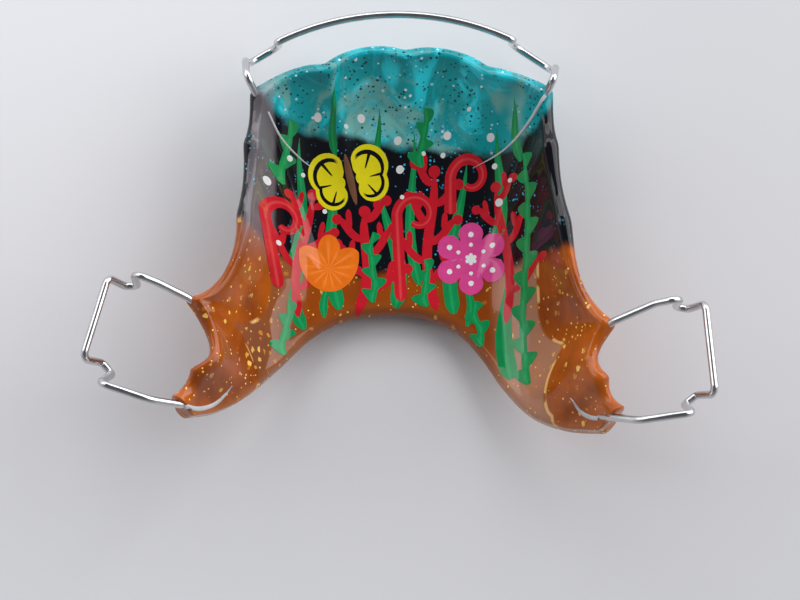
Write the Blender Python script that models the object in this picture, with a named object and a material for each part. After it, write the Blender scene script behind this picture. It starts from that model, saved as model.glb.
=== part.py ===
"""An upper Hawley retainer: a cast resin palate plate, inlaid with a garden design, that carries
a labial bow and two Adams clasps bent from round wire.

X runs across the arch, Y runs forward to the incisors and Z up to the biting plane. Left is -X.
The retainer lies on the tissue side of its vault, with the polished side up.
"""

import math

import bmesh
import bpy
from mathutils import Matrix, Vector
from mathutils.bvhtree import BVHTree

# From the midline out to the clasps' bridges. The plan tables are drawn for DRAWN_HALF_WIDTH.
ARCH_HALF_WIDTH = 0.0275
DRAWN_HALF_WIDTH = 0.0275

# Wire
WIRE_DIAMETER = 0.0007
WIRE_CLEARANCE = 0.0001
WIRE_BEND_RADIUS = 0.0007
SADDLE_BEND_RADIUS = 0.0025
WIRE_SECTION_STEPS = 2
CHANNEL_SECTION_STEPS = 1
WIRE_STEP = 0.0011
BEND_STEP = math.radians(36)
CHANNEL_RUNOUT = 0.0012

# Resin plate
VAULT_HEIGHT = 0.01515
PLATE_THICKNESS = 0.0023
CONTACT_THICKNESS = 0.0016
TOOTH_EDGE_THICKNESS = 0.0012
MARGIN_DEPTH = 0.0044
CONTACT_RISE = 0.0007
REAR_EDGE_RISE = 0.0070
REAR_EDGE_SPAN = 0.0190
REAR_NOSE = 0.0010
TOOTH_NOSE = 0.0003
VAULT_STEEPNESS = 3.0
ARM_STEEPNESS = 1.4
MARGIN_BLEND = 5.0
MOST_EVENING = 1.15
TIP_ROUNDING = 0.00035
# The shallow groove that the palate's midline ridge leaves in the tissue side
RAPHE_DEPTH = 0.00028
RAPHE_HALF_WIDTH = 0.0022
STEPS_PER_TOOTH = 5
STEPS_ACROSS = 7
# Under 1 widens the steps near the rear edge, so that the flat under the vault lies below the mass
STEP_SPREAD = 0.85
NEIGHBOURS_EVENED = 2

# Where each tooth's margin starts, how far the resin swells onto the tooth (negative where a round
# tooth presses into the resin), where along the tooth that peaks, and the share of the rear edge
# that lies behind the start. The teeth run round the arch from the left molar to the right one.
TOOTH_MARGINS = (
    ("left molar, distal cusp", (-0.0198, -0.0097), -0.0001, 0.50, 0.000),
    ("left molar, mesial cusp", (-0.0183, -0.0072), -0.0019, 0.30, 0.105),
    ("left second premolar", (-0.0192, -0.0006), -0.0017, 0.40, 0.240),
    ("left first premolar", (-0.0143, 0.0073), -0.0001, 0.50, 0.335),
    ("left canine", (-0.0137, 0.0142), -0.0001, 0.50, 0.385),
    ("left lateral incisor", (-0.0133, 0.0189), 0.0009, 0.55, 0.425),
    ("left central incisor", (-0.0068, 0.0213), 0.0013, 0.50, 0.465),
    ("right central incisor", (0.0005, 0.0227), 0.0012, 0.50, 0.502),
    ("right lateral incisor", (0.0079, 0.0211), 0.0006, 0.50, 0.540),
    ("right canine", (0.0136, 0.0191), -0.0001, 0.50, 0.575),
    ("right first premolar", (0.0139, 0.0140), -0.0001, 0.50, 0.610),
    ("right second premolar", (0.0150, 0.0068), -0.0012, 0.60, 0.660),
    ("right molar, mesial cusp", (0.0191, -0.0029), -0.0012, 0.60, 0.760),
    ("right molar, distal cusp", (0.0183, -0.0079), -0.0003, 0.50, 0.890),
)
MARGIN_END = (0.0195, -0.0107)
SWELL_FULLNESS = 0.75

# Points that the horseshoe's rear edge passes through, from the left arm's tip to the right one's.
REAR_EDGE = (
    (-0.0190, -0.0110),
    (-0.0166, -0.0100),
    (-0.0139, -0.0080),
    (-0.0110, -0.0050),
    (-0.0080, -0.0019),
    (-0.0045, -0.0001),
    (0.0000, 0.0003),
    (0.0026, -0.0001),
    (0.0053, -0.0014),
    (0.0075, -0.0039),
    (0.0096, -0.0071),
    (0.0120, -0.0098),
    (0.0150, -0.0114),
    (0.0180, -0.0122),
)

# Labial bow
BOW_DEPTH = 0.0045
BOW_APEX = (0.0, 0.0266)
BOW_LEGS = {
    -1: ((-0.0113, 0.0239), (-0.0142, 0.0221)),
    1: ((0.0104, 0.0241), (0.0143, 0.0214)),
}
BOW_LOOP_DROP = 0.0048
BOW_LOOP_FLARE = 0.0013
BOW_LOOP_CORNER_RADIUS = 0.0012
BOW_CROSSING_DEPTH = 0.0024
BOW_CROSSING = {-1: (-0.0140, 0.0200), 1: (0.0140, 0.0197)}
BOW_ENTRY_TOOTH = {-1: 5, 1: 9}
BOW_ARC_STEPS = 16

# Adams clasps: places along the molar are measured forward of the bridge's middle and in from the
# bridge, and depths are below the biting plane. Left is -1 and right is 1.
CLASP_BRIDGE_LENGTH = {-1: 0.0078, 1: 0.0084}
CLASP_BRIDGE_MIDDLE = {-1: (-0.02730, -0.00276), 1: (0.02772, -0.00560)}
CLASP_FLARE = {-1: math.radians(15.6), 1: math.radians(4.8)}
CLASP_BRIDGE_DEPTH = 0.0030
CLASP_CROSSING_DEPTH = 0.0010
ARROWHEAD_DEPTH = 0.0056
ARROWHEAD_BEND_RADIUS = 0.0005
CLASP_ARM_INSET = 0.0024
MESIAL_ARM_FORWARD = {-1: 0.00445, 1: 0.00436}
DISTAL_ARM_BACK = {-1: 0.00602, 1: 0.00615}
# The two corners of each arrowhead: in from the bridge, and forward of the bridge's end.
MESIAL_ARROWHEAD = ((0.0013, 0.0003), (0.0024, 0.0006))
DISTAL_ARROWHEAD = ((0.0014, 0.0007), (0.0026, -0.0001))
# Where the arms pass over the teeth: in from the bridge, and depth.
MESIAL_SADDLES = ((0.0046, 0.0021),)
DISTAL_SADDLES = ((0.0046, 0.0015), (0.0070, 0.0022))

# Routes in plan of the wire tags that anchor in the resin, from the plate's margin inward.
BOW_TAGS = {
    -1: (
        (-0.0122, 0.0178),
        (-0.0110, 0.0164),
        (-0.0088, 0.0147),
        (-0.0066, 0.0136),
        (-0.0044, 0.0127),
        (-0.0036, 0.0113),
    ),
    1: (
        (0.0126, 0.0176),
        (0.0113, 0.0162),
        (0.0092, 0.0149),
        (0.0068, 0.0140),
        (0.0047, 0.0129),
        (0.0040, 0.0115),
    ),
}
MESIAL_TAGS = {
    -1: ((-0.0178, -0.0012), (-0.0158, -0.0019), (-0.0138, -0.0024), (-0.0121, -0.0030)),
    1: ((0.0176, -0.0035), (0.0158, -0.0041), (0.0140, -0.0046), (0.0124, -0.0049)),
}
DISTAL_TAGS = {
    -1: ((-0.0179, -0.0094), (-0.0161, -0.0080), (-0.0148, -0.0066), (-0.0138, -0.0050)),
    1: ((0.0175, -0.0108), (0.0160, -0.0097), (0.0149, -0.0084), (0.0137, -0.0071)),
}

# Inlaid design
INLAY_THICKNESS = 0.00025
INLAY_CLEARANCE = 0.0001
INLAY_BED_CLEARANCE = 0.0002
STEM_HALF_WIDTH = 0.00030
LEAFLET_LENGTH = 0.0009
LEAFLET_SWEEP = 0.45
# Base, tip, sideways sway and number of leaflets on each side of each frond.
FRONDS = (
    ((-0.0107, -0.0040), (-0.0104, 0.0012), 0.0002, 2),
    ((-0.0109, 0.0115), (-0.0102, 0.0172), 0.0002, 2),
    ((-0.0026, 0.0013), (-0.0025, 0.0080), -0.0002, 3),
    ((0.0025, 0.0009), (0.0023, 0.0054), 0.0002, 2),
    ((0.0020, 0.0138), (0.0023, 0.0186), 0.0002, 2),
    ((0.0074, -0.0030), (0.0070, 0.0014), -0.0002, 2),
    ((0.0117, -0.0070), (0.0114, 0.0142), 0.0003, 7),
)
SCROLL_HALF_WIDTH = 0.00046
SCROLL_TURNS = 0.85
# Middle of each scroll's curl, foot of its stalk, the curl's radius and the way it turns.
SCROLLS = (
    ((0.0016, 0.0096), (0.0001, 0.0014), 0.0019, 1),
    ((0.0065, 0.0128), (0.0047, 0.0096), 0.0018, 1),
    ((-0.0107, 0.0084), (-0.0112, 0.0022), 0.0017, 1),
)
FLOWER_CENTRE = (0.0066, 0.0054)
FLOWER_RADIUS = 0.0034
FLOWER_PETALS = 6
FLOWER_NOTCH = 0.42
TULIP_CENTRE = (-0.0066, 0.0045)
TULIP_RADIUS = 0.0022
TULIP_POINT_LEAN = math.radians(60)
BUTTERFLY_CENTRE = (-0.0046, 0.0126)
BUTTERFLY_WING = 0.0039
BUTTERFLY_TILT = math.radians(14)
BUTTERFLY_BODY_LENGTH = 0.0044
BUTTERFLY_BODY_HALF_WIDTH = 0.00034
DOT_RADIUS = 0.00036
DOTS = (
    (-0.0122, 0.0112),
    (-0.0076, 0.0176),
    (-0.0036, 0.0178),
    (-0.0002, 0.0160),
    (0.0044, 0.0164),
    (0.0084, 0.0160),
    (0.0092, 0.0104),
    (0.0000, 0.0136),
)

# How far forward the plate's fields of colour start
TEAL_FIELD_START = 0.0136
DARK_FIELD_START = 0.0042

# How far the whole retainer leans forward about X to lie on its vault
REST_LEAN = math.radians(-7.0)


def clear_scene():
    for thing in list(bpy.data.objects):
        bpy.data.objects.remove(thing)


def resin(name, colour, roughness=0.12, metallic=0.0):
    """A Principled material."""
    material = bpy.data.materials.new(name)
    material.use_nodes = True
    shader = material.node_tree.nodes["Principled BSDF"]
    shader.inputs["Base Color"].default_value = (*colour, 1.0)
    shader.inputs["Roughness"].default_value = roughness
    shader.inputs["Metallic"].default_value = metallic
    material.diffuse_color = (*colour, 1.0)
    return material


def in_plan(point):
    """A point of the plan tables, moved out to the arch's own width."""
    return Vector((point[0] * ARCH_HALF_WIDTH / DRAWN_HALF_WIDTH, point[1]))


def spline_through(points, steps):
    """Points of a smooth curve that passes through the given ones."""
    ends = [points[0] * 2 - points[1]] + list(points) + [points[-1] * 2 - points[-2]]
    curve = []
    for a, b, c, d in zip(ends, ends[1:], ends[2:], ends[3:]):
        for i in range(steps):
            t = i / steps
            curve.append(
                b
                + (c - a) * (t / 2)
                + (a * 2 - b * 5 + c * 4 - d) * (t * t / 2)
                + (b * 3 - a - c * 3 + d) * (t**3 / 2)
            )
    curve.append(points[-1].copy())
    return curve


def evenly_spaced(curve, shares):
    """The points that lie at the given shares of a curve's length."""
    lengths = [0.0]
    for a, b in zip(curve, curve[1:]):
        lengths.append(lengths[-1] + (b - a).length)
    found = []
    i = 0
    for share in shares:
        wanted = share * lengths[-1]
        while i < len(curve) - 2 and lengths[i + 1] < wanted:
            i += 1
        t = (wanted - lengths[i]) / (lengths[i + 1] - lengths[i])
        found.append(curve[i].lerp(curve[i + 1], min(max(t, 0.0), 1.0)))
    return found


def smooth_step(low, high, value):
    t = min(max((value - low) / (high - low), 0.0), 1.0)
    return t * t * (3 - 2 * t)


def margin_stations():
    """Stations round the arch: the margin point in plan, the share of the rear edge behind it, and
    how near the station is to the middle of its tooth, from 0 at a contact to 1."""
    starts = [in_plan(row[1]) for row in TOOTH_MARGINS] + [in_plan(MARGIN_END)]
    shares = [row[4] for row in TOOTH_MARGINS] + [1.0]
    stations = []
    for i, (_, _, swell, peak, _) in enumerate(TOOTH_MARGINS):
        chord = starts[i + 1] - starts[i]
        outward = Vector((-chord.y, chord.x)).normalized()
        skew = math.log(0.5) / math.log(peak)
        for step in range(STEPS_PER_TOOTH):
            t = step / STEPS_PER_TOOTH
            bulge = math.sin(math.pi * t**skew) ** SWELL_FULLNESS if step else 0.0
            point = starts[i] + chord * t + outward * (swell * bulge)
            share = shares[i] + (shares[i + 1] - shares[i]) * t
            stations.append((point, share, math.sin(math.pi * t)))
    stations.append((starts[-1], 1.0, 0.0))
    return stations


def distances_across(width):
    """Distances from the rear edge across the plate, each with the share of the thickness there:
    a round nose at both edges and even steps between them."""
    rear = min(REAR_NOSE, 0.35 * width)
    front = min(TOOTH_NOSE, 0.2 * width)
    quarter = [math.radians(a) for a in (0, 30, 60)]
    rows = [(rear * (1 - math.cos(a)), math.sin(a)) for a in quarter]
    span = width - rear - front
    shares = [(i / STEPS_ACROSS) ** STEP_SPREAD for i in range(STEPS_ACROSS + 1)]
    rows += [(rear + span * share, 1.0) for share in shares]
    rows += [(width - front * (1 - math.cos(a)), math.sin(a)) for a in reversed(quarter)]
    return rows


def running_mean(values, reach):
    """The values, each averaged with its neighbours on both sides."""
    means = []
    for i in range(len(values)):
        near = values[max(i - reach, 0) : i + reach + 1]
        means.append(sum(near) / len(near))
    return means


def plate_surfaces():
    """Rows of points of the plate's middle, polished and tissue surfaces, one row for each station."""
    stations = margin_stations()
    shares = [share for _, share, _ in stations]
    rear_curve = spline_through([in_plan(p) for p in REAR_EDGE], 8)
    rear_points = evenly_spaced(rear_curve, shares)
    widths = [(margin - rear).length for (margin, _, _), rear in zip(stations, rear_points)]
    even_widths = running_mean(widths, STEPS_PER_TOOTH)
    vault_widths = [min(even, width * MOST_EVENING) for even, width in zip(even_widths, widths)]
    floor = PLATE_THICKNESS / 2
    margin_height = VAULT_HEIGHT - MARGIN_DEPTH
    middle, halves = [], []
    sections = zip(stations, rear_points, widths, vault_widths)
    for (margin, share, on_tooth), rear, width, vault_width in sections:
        low = floor + REAR_EDGE_RISE * min(abs(rear.x) / REAR_EDGE_SPAN, 1.1) ** 3
        high = margin_height + CONTACT_RISE * (1 - on_tooth)
        arm = smooth_step(0.3, 0.7, abs(2 * share - 1))
        steepness = VAULT_STEEPNESS + (ARM_STEEPNESS - VAULT_STEEPNESS) * arm
        edge_thickness = CONTACT_THICKNESS + (TOOTH_EDGE_THICKNESS - CONTACT_THICKNESS) * on_tooth
        missed = 1 - (width / vault_width) ** steepness
        row, half_row = [], []
        for distance, fullness in distances_across(width):
            s = distance / width
            plan = rear.lerp(margin, s)
            rise = (distance / vault_width) ** steepness + missed * s**MARGIN_BLEND
            row.append(Vector((plan.x, plan.y, low + (high - low) * rise)))
            thickness = PLATE_THICKNESS + (edge_thickness - PLATE_THICKNESS) * s * s
            half_row.append(thickness / 2 * fullness)
        middle.append(row)
        halves.append(half_row)
    normals = grid_normals(middle)
    polished = [
        [p + n * h for p, n, h in zip(row, normal_row, half_row)]
        for row, normal_row, half_row in zip(middle, normals, halves)
    ]
    tissue = [
        [p - n * (h - raphe_lift(p.x, h)) for p, n, h in zip(row, normal_row, half_row)]
        for row, normal_row, half_row in zip(middle, normals, halves)
    ]
    return middle, polished, tissue


def raphe_lift(across, half_thickness):
    """How much of the resin's lower half the midline groove takes away."""
    share = min(half_thickness / (PLATE_THICKNESS / 2), 1.0)
    return RAPHE_DEPTH * share * math.exp(-((across / RAPHE_HALF_WIDTH) ** 2))


def grid_normals(rows):
    """The upward normal at each point of a grid, evened out from row to row so that the resin keeps
    its thickness at the sharp points between teeth."""
    normals = []
    for i, row in enumerate(rows):
        before, after = rows[max(i - 1, 0)], rows[min(i + 1, len(rows) - 1)]
        line = []
        for j in range(len(row)):
            along = after[j] - before[j]
            across = row[min(j + 1, len(row) - 1)] - row[max(j - 1, 0)]
            normal = across.cross(along).normalized()
            line.append(normal if normal.z > 0 else -normal)
        normals.append(line)
    evened = []
    for i in range(len(rows)):
        near = normals[max(i - NEIGHBOURS_EVENED, 0) : i + NEIGHBOURS_EVENED + 1]
        evened.append([sum(column, Vector()).normalized() for column in zip(*near)])
    return evened


def surface_tree(rows):
    """A search tree over a grid of points, for dropping plan points onto it."""
    flat = [p for row in rows for p in row]
    count = len(rows[0])
    triangles = []
    for i in range(len(rows) - 1):
        for j in range(count - 1):
            a, b = i * count + j, (i + 1) * count + j
            triangles += split_quad(a, a + 1, b + 1, b)
    return BVHTree.FromPolygons(flat, triangles)


def split_quad(a, b, c, d):
    """A quad's two triangles, always along the same diagonal."""
    return [(a, b, c), (a, c, d)]


def height_on(tree, x, y):
    """The height of a surface over a plan point."""
    hit = tree.ray_cast(Vector((x, y, VAULT_HEIGHT * 3)), Vector((0, 0, -1)))[0]
    if hit is None:
        raise ValueError(f"plan point {x:.4f}, {y:.4f} is off the plate")
    return hit.z


def height_near(tree, x, y):
    """The same, or the height of the surface's closest edge where it ends short of the point."""
    hit = tree.ray_cast(Vector((x, y, VAULT_HEIGHT * 3)), Vector((0, 0, -1)))[0]
    if hit is None:
        hit = tree.find_nearest(Vector((x, y, VAULT_HEIGHT - MARGIN_DEPTH)))[0]
    return hit.z


def new_object(name, mesh, material, parent):
    thing = bpy.data.objects.new(name, mesh)
    bpy.context.scene.collection.objects.link(thing)
    thing.parent = parent
    if material:
        thing.data.materials.append(material)
    return thing


def helper_object(name, mesh, parent):
    """A cutter, which a render leaves out."""
    thing = new_object(name, mesh, None, parent)
    thing.hide_render = True
    thing.display_type = "WIRE"
    return thing


def mesh_from(name, points, faces):
    mesh = bpy.data.meshes.new(name)
    mesh.from_pydata([tuple(p) for p in points], [], faces)
    mesh.validate()
    shape = bmesh.new()
    shape.from_mesh(mesh)
    bmesh.ops.recalc_face_normals(shape, faces=shape.faces)
    shape.to_mesh(mesh)
    shape.free()
    return mesh


def colour_fields(mesh):
    """Splits the plate's faces along the edges of its colour fields, and gives each face its field:
    0 amber, 1 dark, 2 teal."""
    shape = bmesh.new()
    shape.from_mesh(mesh)
    for start in (DARK_FIELD_START, TEAL_FIELD_START):
        geometry = shape.verts[:] + shape.edges[:] + shape.faces[:]
        bmesh.ops.bisect_plane(shape, geom=geometry, dist=1e-7, plane_co=(0, start, 0), plane_no=(0, 1, 0))
    for face in shape.faces:
        forward = face.calc_center_median().y
        face.material_index = (forward > DARK_FIELD_START) + (forward > TEAL_FIELD_START)
    shape.to_mesh(mesh)
    shape.free()


def build_plate(polished, tissue, materials, parent):
    """The plate as one closed skin: each station's polished and tissue rows make a loop."""
    loops = [row + list(reversed(under[1:-1])) for row, under in zip(polished, tissue)]
    for end, inner in ((0, 1), (-1, -2)):
        loop = loops[end]
        middle = sum(loop, Vector()) / len(loop)
        outward = (middle - sum(loops[inner], Vector()) / len(loop)).normalized()
        cap = [middle + (p - middle) * 0.7 + outward * TIP_ROUNDING for p in loop]
        loops = [cap] + loops if end == 0 else loops + [cap]
    count = len(loops[0])
    points = [p for loop in loops for p in loop]
    faces = []
    for i in range(len(loops) - 1):
        for j in range(count):
            k = (j + 1) % count
            a, b = i * count, (i + 1) * count
            faces += split_quad(a + j, a + k, b + k, b + j)
    faces.append(tuple(range(count)))
    faces.append(tuple((len(loops) - 1) * count + j for j in reversed(range(count))))
    mesh = mesh_from("base_plate", points, faces)
    for material in materials:
        mesh.materials.append(material)
    colour_fields(mesh)
    plate = new_object("base_plate", mesh, None, parent)
    mesh.shade_smooth()
    mesh.set_sharp_from_angle(angle=math.radians(50))
    return plate


def arc_at(before, corner, after, radius):
    """The points of a round bend of the given radius at a corner."""
    back, ahead = before - corner, after - corner
    turn = math.pi - back.angle(ahead)
    if turn < math.radians(2):
        return [corner.copy()]
    reach = min(radius * math.tan(turn / 2), 0.48 * min(back.length, ahead.length))
    radius = reach / math.tan(turn / 2)
    start = corner + back.normalized() * reach
    inward = (back.normalized() + ahead.normalized()).normalized()
    centre = corner + inward * (radius / math.cos(turn / 2))
    first = start - centre
    axis = back.cross(ahead).normalized()
    steps = max(1, math.ceil(turn / BEND_STEP))
    return [
        centre + Matrix.Rotation(-turn * i / steps, 3, axis) @ first for i in range(steps + 1)
    ]


def bent_path(corners):
    """A wire's centre line. Each corner is a point and the radius of the bend there."""
    path = [corners[0][0]]
    for (a, _), (b, radius), (c, _) in zip(corners, corners[1:], corners[2:]):
        path += arc_at(a, b, c, radius)
    path.append(corners[-1][0])
    return path


def tag_path(plan_points, middle_tree):
    """A wire tag's centre line in the middle of the resin, from the margin inward."""
    plan = spline_through([Vector(p) for p in plan_points], 6)
    length = sum((b - a).length for a, b in zip(plan, plan[1:]))
    count = max(3, round(length / WIRE_STEP))
    even = evenly_spaced(plan, [i / count for i in range(count + 1)])
    return [Vector((p.x, p.y, height_near(middle_tree, p.x, p.y))) for p in even]


def wire_curve(name, path, radius, section_steps):
    curve = bpy.data.curves.new(name, "CURVE")
    curve.dimensions = "3D"
    curve.bevel_depth = radius
    curve.bevel_resolution = section_steps
    curve.use_fill_caps = True
    spline = curve.splines.new("POLY")
    spline.points.add(len(path) - 1)
    for place, point in zip(spline.points, path):
        place.co = (*point, 1.0)
    return curve


def build_wire(name, path, material, parent):
    curve = wire_curve(name, path, WIRE_DIAMETER / 2, WIRE_SECTION_STEPS)
    return new_object(name, curve, material, parent)


def anchored_end(entry, tag_points, first_corner, middle_tree):
    """A wire's tag, from the margin inward, and the centre line of the channel that it lies in, from
    the tag's end out past the margin towards the wire's first corner outside."""
    tag = tag_path([entry] + [in_plan(p) for p in tag_points], middle_tree)
    del tag[1]
    bend = arc_at(tag[1], tag[0], first_corner, SADDLE_BEND_RADIUS)
    way_out = (first_corner - bend[-1]).normalized()
    channel = list(reversed(tag[1:])) + bend + [bend[-1] + way_out * CHANNEL_RUNOUT]
    return tag, channel


def channel_mesh(path):
    """The closed cutter of the channel that a tag lies in, a clearance longer at the tag's end."""
    beyond = path[0] + (path[0] - path[1]).normalized() * WIRE_CLEARANCE
    radius = WIRE_DIAMETER / 2 + WIRE_CLEARANCE
    curve = wire_curve("channel", [beyond] + path[1:], radius, CHANNEL_SECTION_STEPS)
    carrier = bpy.data.objects.new("channel", curve)
    mesh = bpy.data.meshes.new_from_object(carrier)
    bpy.data.objects.remove(carrier)
    return mesh


def bow_half(side, middle_tree):
    """One half of the labial bow: its tag, the tag's channel, the corners from the margin over the
    teeth and round the loop, and the leg's top, where the front arc starts."""
    entry = in_plan(TOOTH_MARGINS[BOW_ENTRY_TOOTH[side]][1])
    front, back = (in_plan(p) for p in BOW_LEGS[side])
    level = VAULT_HEIGHT - BOW_DEPTH
    crossing = Vector((*in_plan(BOW_CROSSING[side]), VAULT_HEIGHT - BOW_CROSSING_DEPTH))
    tag, channel = anchored_end(entry, BOW_TAGS[side], crossing, middle_tree)
    flare = Vector((0, BOW_LOOP_FLARE, -BOW_LOOP_DROP))
    back_top, front_top = Vector((*back, level)), Vector((*front, level))
    corners = [
        (tag[0], SADDLE_BEND_RADIUS),
        (crossing, SADDLE_BEND_RADIUS),
        (back_top, WIRE_BEND_RADIUS * 2),
        (back_top + flare, BOW_LOOP_CORNER_RADIUS),
        (front_top + flare, BOW_LOOP_CORNER_RADIUS),
    ]
    return tag, channel, corners, front_top


def circle_through(a, b, c):
    """The centre, in plan, of the circle through three plan points."""
    ab, ac = b - a, c - a
    twice = 2 * (ab.x * ac.y - ab.y * ac.x)
    x = (ac.y * ab.length_squared - ab.y * ac.length_squared) / twice
    y = (ab.x * ac.length_squared - ac.x * ab.length_squared) / twice
    return a + Vector((x, y))


def bow_arc(left, right):
    """The front stretch of the bow between the two loops, one arc through the bow's apex."""
    centre = circle_through(left.xy, in_plan(BOW_APEX), right.xy)
    radius = (left.xy - centre).length
    first = math.atan2(left.y - centre.y, left.x - centre.x)
    last = math.atan2(right.y - centre.y, right.x - centre.x)
    arc = []
    for i in range(BOW_ARC_STEPS + 1):
        angle = first + (last - first) * i / BOW_ARC_STEPS
        across = centre.x + radius * math.cos(angle)
        forward = centre.y + radius * math.sin(angle)
        arc.append(Vector((across, forward, left.z)))
    return arc


def wire_between(first_tag, corners, last_tag):
    """A whole wire's centre line, from the end of one tag to the end of the other."""
    corners = [(first_tag[1], 0.0)] + corners + [(last_tag[1], 0.0)]
    return list(reversed(first_tag[2:])) + bent_path(corners) + last_tag[2:]


def build_bow(middle_tree, material, parent):
    """The bow from one anchored end to the other. It returns the bow's two channels."""
    left_tag, left_channel, left, left_top = bow_half(-1, middle_tree)
    right_tag, right_channel, right, right_top = bow_half(1, middle_tree)
    arc = bow_arc(left_top, right_top)
    corners = left + [(left_top, WIRE_BEND_RADIUS)]
    corners += [(p, SADDLE_BEND_RADIUS) for p in arc[1:-1]]
    corners += [(right_top, WIRE_BEND_RADIUS)] + list(reversed(right))
    build_wire("labial_bow", wire_between(left_tag, corners, right_tag), material, parent)
    return [left_channel, right_channel]


def clasp_frame(side):
    """The bridge's middle in plan, and the plan directions out from the molar and forward along it."""
    flare = CLASP_FLARE[side]
    forward = Vector((-side * math.sin(flare), math.cos(flare)))
    outward = Vector((side * math.cos(flare), math.sin(flare)))
    return in_plan(CLASP_BRIDGE_MIDDLE[side]), outward, forward


def clasp_end(side, end, entry, tag_points, middle_tree):
    """One end of a clasp, mesial (1) or distal (-1): its tag, the tag's channel, and the corners from
    the margin over the biting side and round the arrowhead to the end of the bridge."""
    middle, outward, forward = clasp_frame(side)

    def at(inset, along, depth):
        plan = middle - outward * inset + forward * along
        return Vector((plan.x, plan.y, VAULT_HEIGHT - depth))

    bridge_end = end * CLASP_BRIDGE_LENGTH[side] / 2
    arm = MESIAL_ARM_FORWARD[side] if end == 1 else -DISTAL_ARM_BACK[side]
    saddles = MESIAL_SADDLES if end == 1 else DISTAL_SADDLES
    outer_head, inner_head = MESIAL_ARROWHEAD if end == 1 else DISTAL_ARROWHEAD
    over = [at(inset, arm, depth) for inset, depth in reversed(saddles)]
    tag, channel = anchored_end(entry, tag_points, over[0], middle_tree)
    corners = [(p, SADDLE_BEND_RADIUS) for p in [tag[0]] + over]
    corners += [
        (at(CLASP_ARM_INSET, arm, CLASP_CROSSING_DEPTH), WIRE_BEND_RADIUS),
        (at(inner_head[0], bridge_end + inner_head[1], ARROWHEAD_DEPTH), ARROWHEAD_BEND_RADIUS),
        (at(outer_head[0], bridge_end + outer_head[1], ARROWHEAD_DEPTH), ARROWHEAD_BEND_RADIUS),
        (at(0.0, bridge_end, CLASP_BRIDGE_DEPTH), WIRE_BEND_RADIUS),
    ]
    return tag, channel, corners


def build_clasp(name, side, entries, middle_tree, material, parent):
    """An Adams clasp, from its mesial tag to its distal one. It returns the clasp's two channels."""
    first_tag, first_channel, mesial = clasp_end(side, 1, entries[0], MESIAL_TAGS[side], middle_tree)
    last_tag, last_channel, distal = clasp_end(side, -1, entries[1], DISTAL_TAGS[side], middle_tree)
    path = wire_between(first_tag, mesial + list(reversed(distal)), last_tag)
    build_wire(name, path, material, parent)
    return [first_channel, last_channel]


def clasp_entries(side, polished):
    """Plan points where a clasp's mesial and distal arms enter the plate."""
    if side == -1:
        mesial = in_plan(TOOTH_MARGINS[2][1])
        tip = polished[0]
    else:
        mesial = in_plan(TOOTH_MARGINS[12][1])
        tip = polished[-1]
    return mesial, tip[0].xy.lerp(tip[-1].xy, 0.5)


def cut(target, cutter, name):
    modifier = target.modifiers.new(name, "BOOLEAN")
    modifier.operation = "DIFFERENCE"
    modifier.solver = "EXACT"
    modifier.object = cutter


def joined_mesh(name, meshes):
    """One mesh that holds several closed shapes, with the doubled points of their caps merged."""
    shape = bmesh.new()
    for mesh in meshes:
        shape.from_mesh(mesh)
    bmesh.ops.remove_doubles(shape, verts=shape.verts, dist=1e-6)
    bmesh.ops.recalc_face_normals(shape, faces=shape.faces)
    mesh = bpy.data.meshes.new(name)
    shape.to_mesh(mesh)
    shape.free()
    return mesh


def slab(name, plan, faces, tree, above, below):
    """A thin closed slab that follows a surface: a flat pattern dropped onto it, with its top and
    bottom the given distances above and below the surface."""
    heights = [height_on(tree, p.x, p.y) for p in plan]
    top = [Vector((p.x, p.y, z + above)) for p, z in zip(plan, heights)]
    bottom = [Vector((p.x, p.y, z - below)) for p, z in zip(plan, heights)]
    count = len(plan)
    faces = [piece for face in faces for piece in (split_quad(*face) if len(face) == 4 else [face])]
    skin = list(faces) + [tuple(count + i for i in reversed(face)) for face in faces]
    edges = {}
    for face in faces:
        for a, b in zip(face, face[1:] + face[:1]):
            edges[frozenset((a, b))] = None if frozenset((a, b)) in edges else (a, b)
    skin += [(b, a, a + count, b + count) for a, b in filter(None, edges.values())]
    return mesh_from(name, top + bottom, skin)


def strip_pattern(line, left_widths, right_widths, sweep, grow):
    """A flat strip along a plan line, with a width on each side. The sides lean forward by sweep
    times their width, and the whole grows by a clearance."""
    points, faces = [], []
    for i, p in enumerate(line):
        along = (line[min(i + 1, len(line) - 1)] - line[max(i - 1, 0)]).normalized()
        side = Vector((-along.y, along.x))
        end = -grow if i == 0 else grow if i == len(line) - 1 else 0.0
        base = p + along * end
        left, right = left_widths[i], right_widths[i]
        points.append(base + side * (left + grow) + along * (left * sweep))
        points.append(base - side * (right + grow) + along * (right * sweep))
    for i in range(len(line) - 1):
        faces.append((2 * i, 2 * i + 1, 2 * i + 3, 2 * i + 2))
    return points, faces


def round_pattern(centre, radii, grow, rings=1):
    """A flat shape that is star-like about its centre: one radius for each direction."""
    count = len(radii)
    points = [centre.copy()]
    for ring in range(1, rings + 1):
        for i, radius in enumerate(radii):
            angle = 2 * math.pi * i / count
            reach = (radius + grow) * ring / rings
            points.append(centre + Vector((math.cos(angle), math.sin(angle))) * reach)
    faces = [(0, 1 + i, 1 + (i + 1) % count) for i in range(count)]
    for ring in range(1, rings):
        inner, outer = 1 + (ring - 1) * count, 1 + ring * count
        for i in range(count):
            j = (i + 1) % count
            faces.append((inner + i, outer + i, outer + j, inner + j))
    return points, faces


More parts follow.
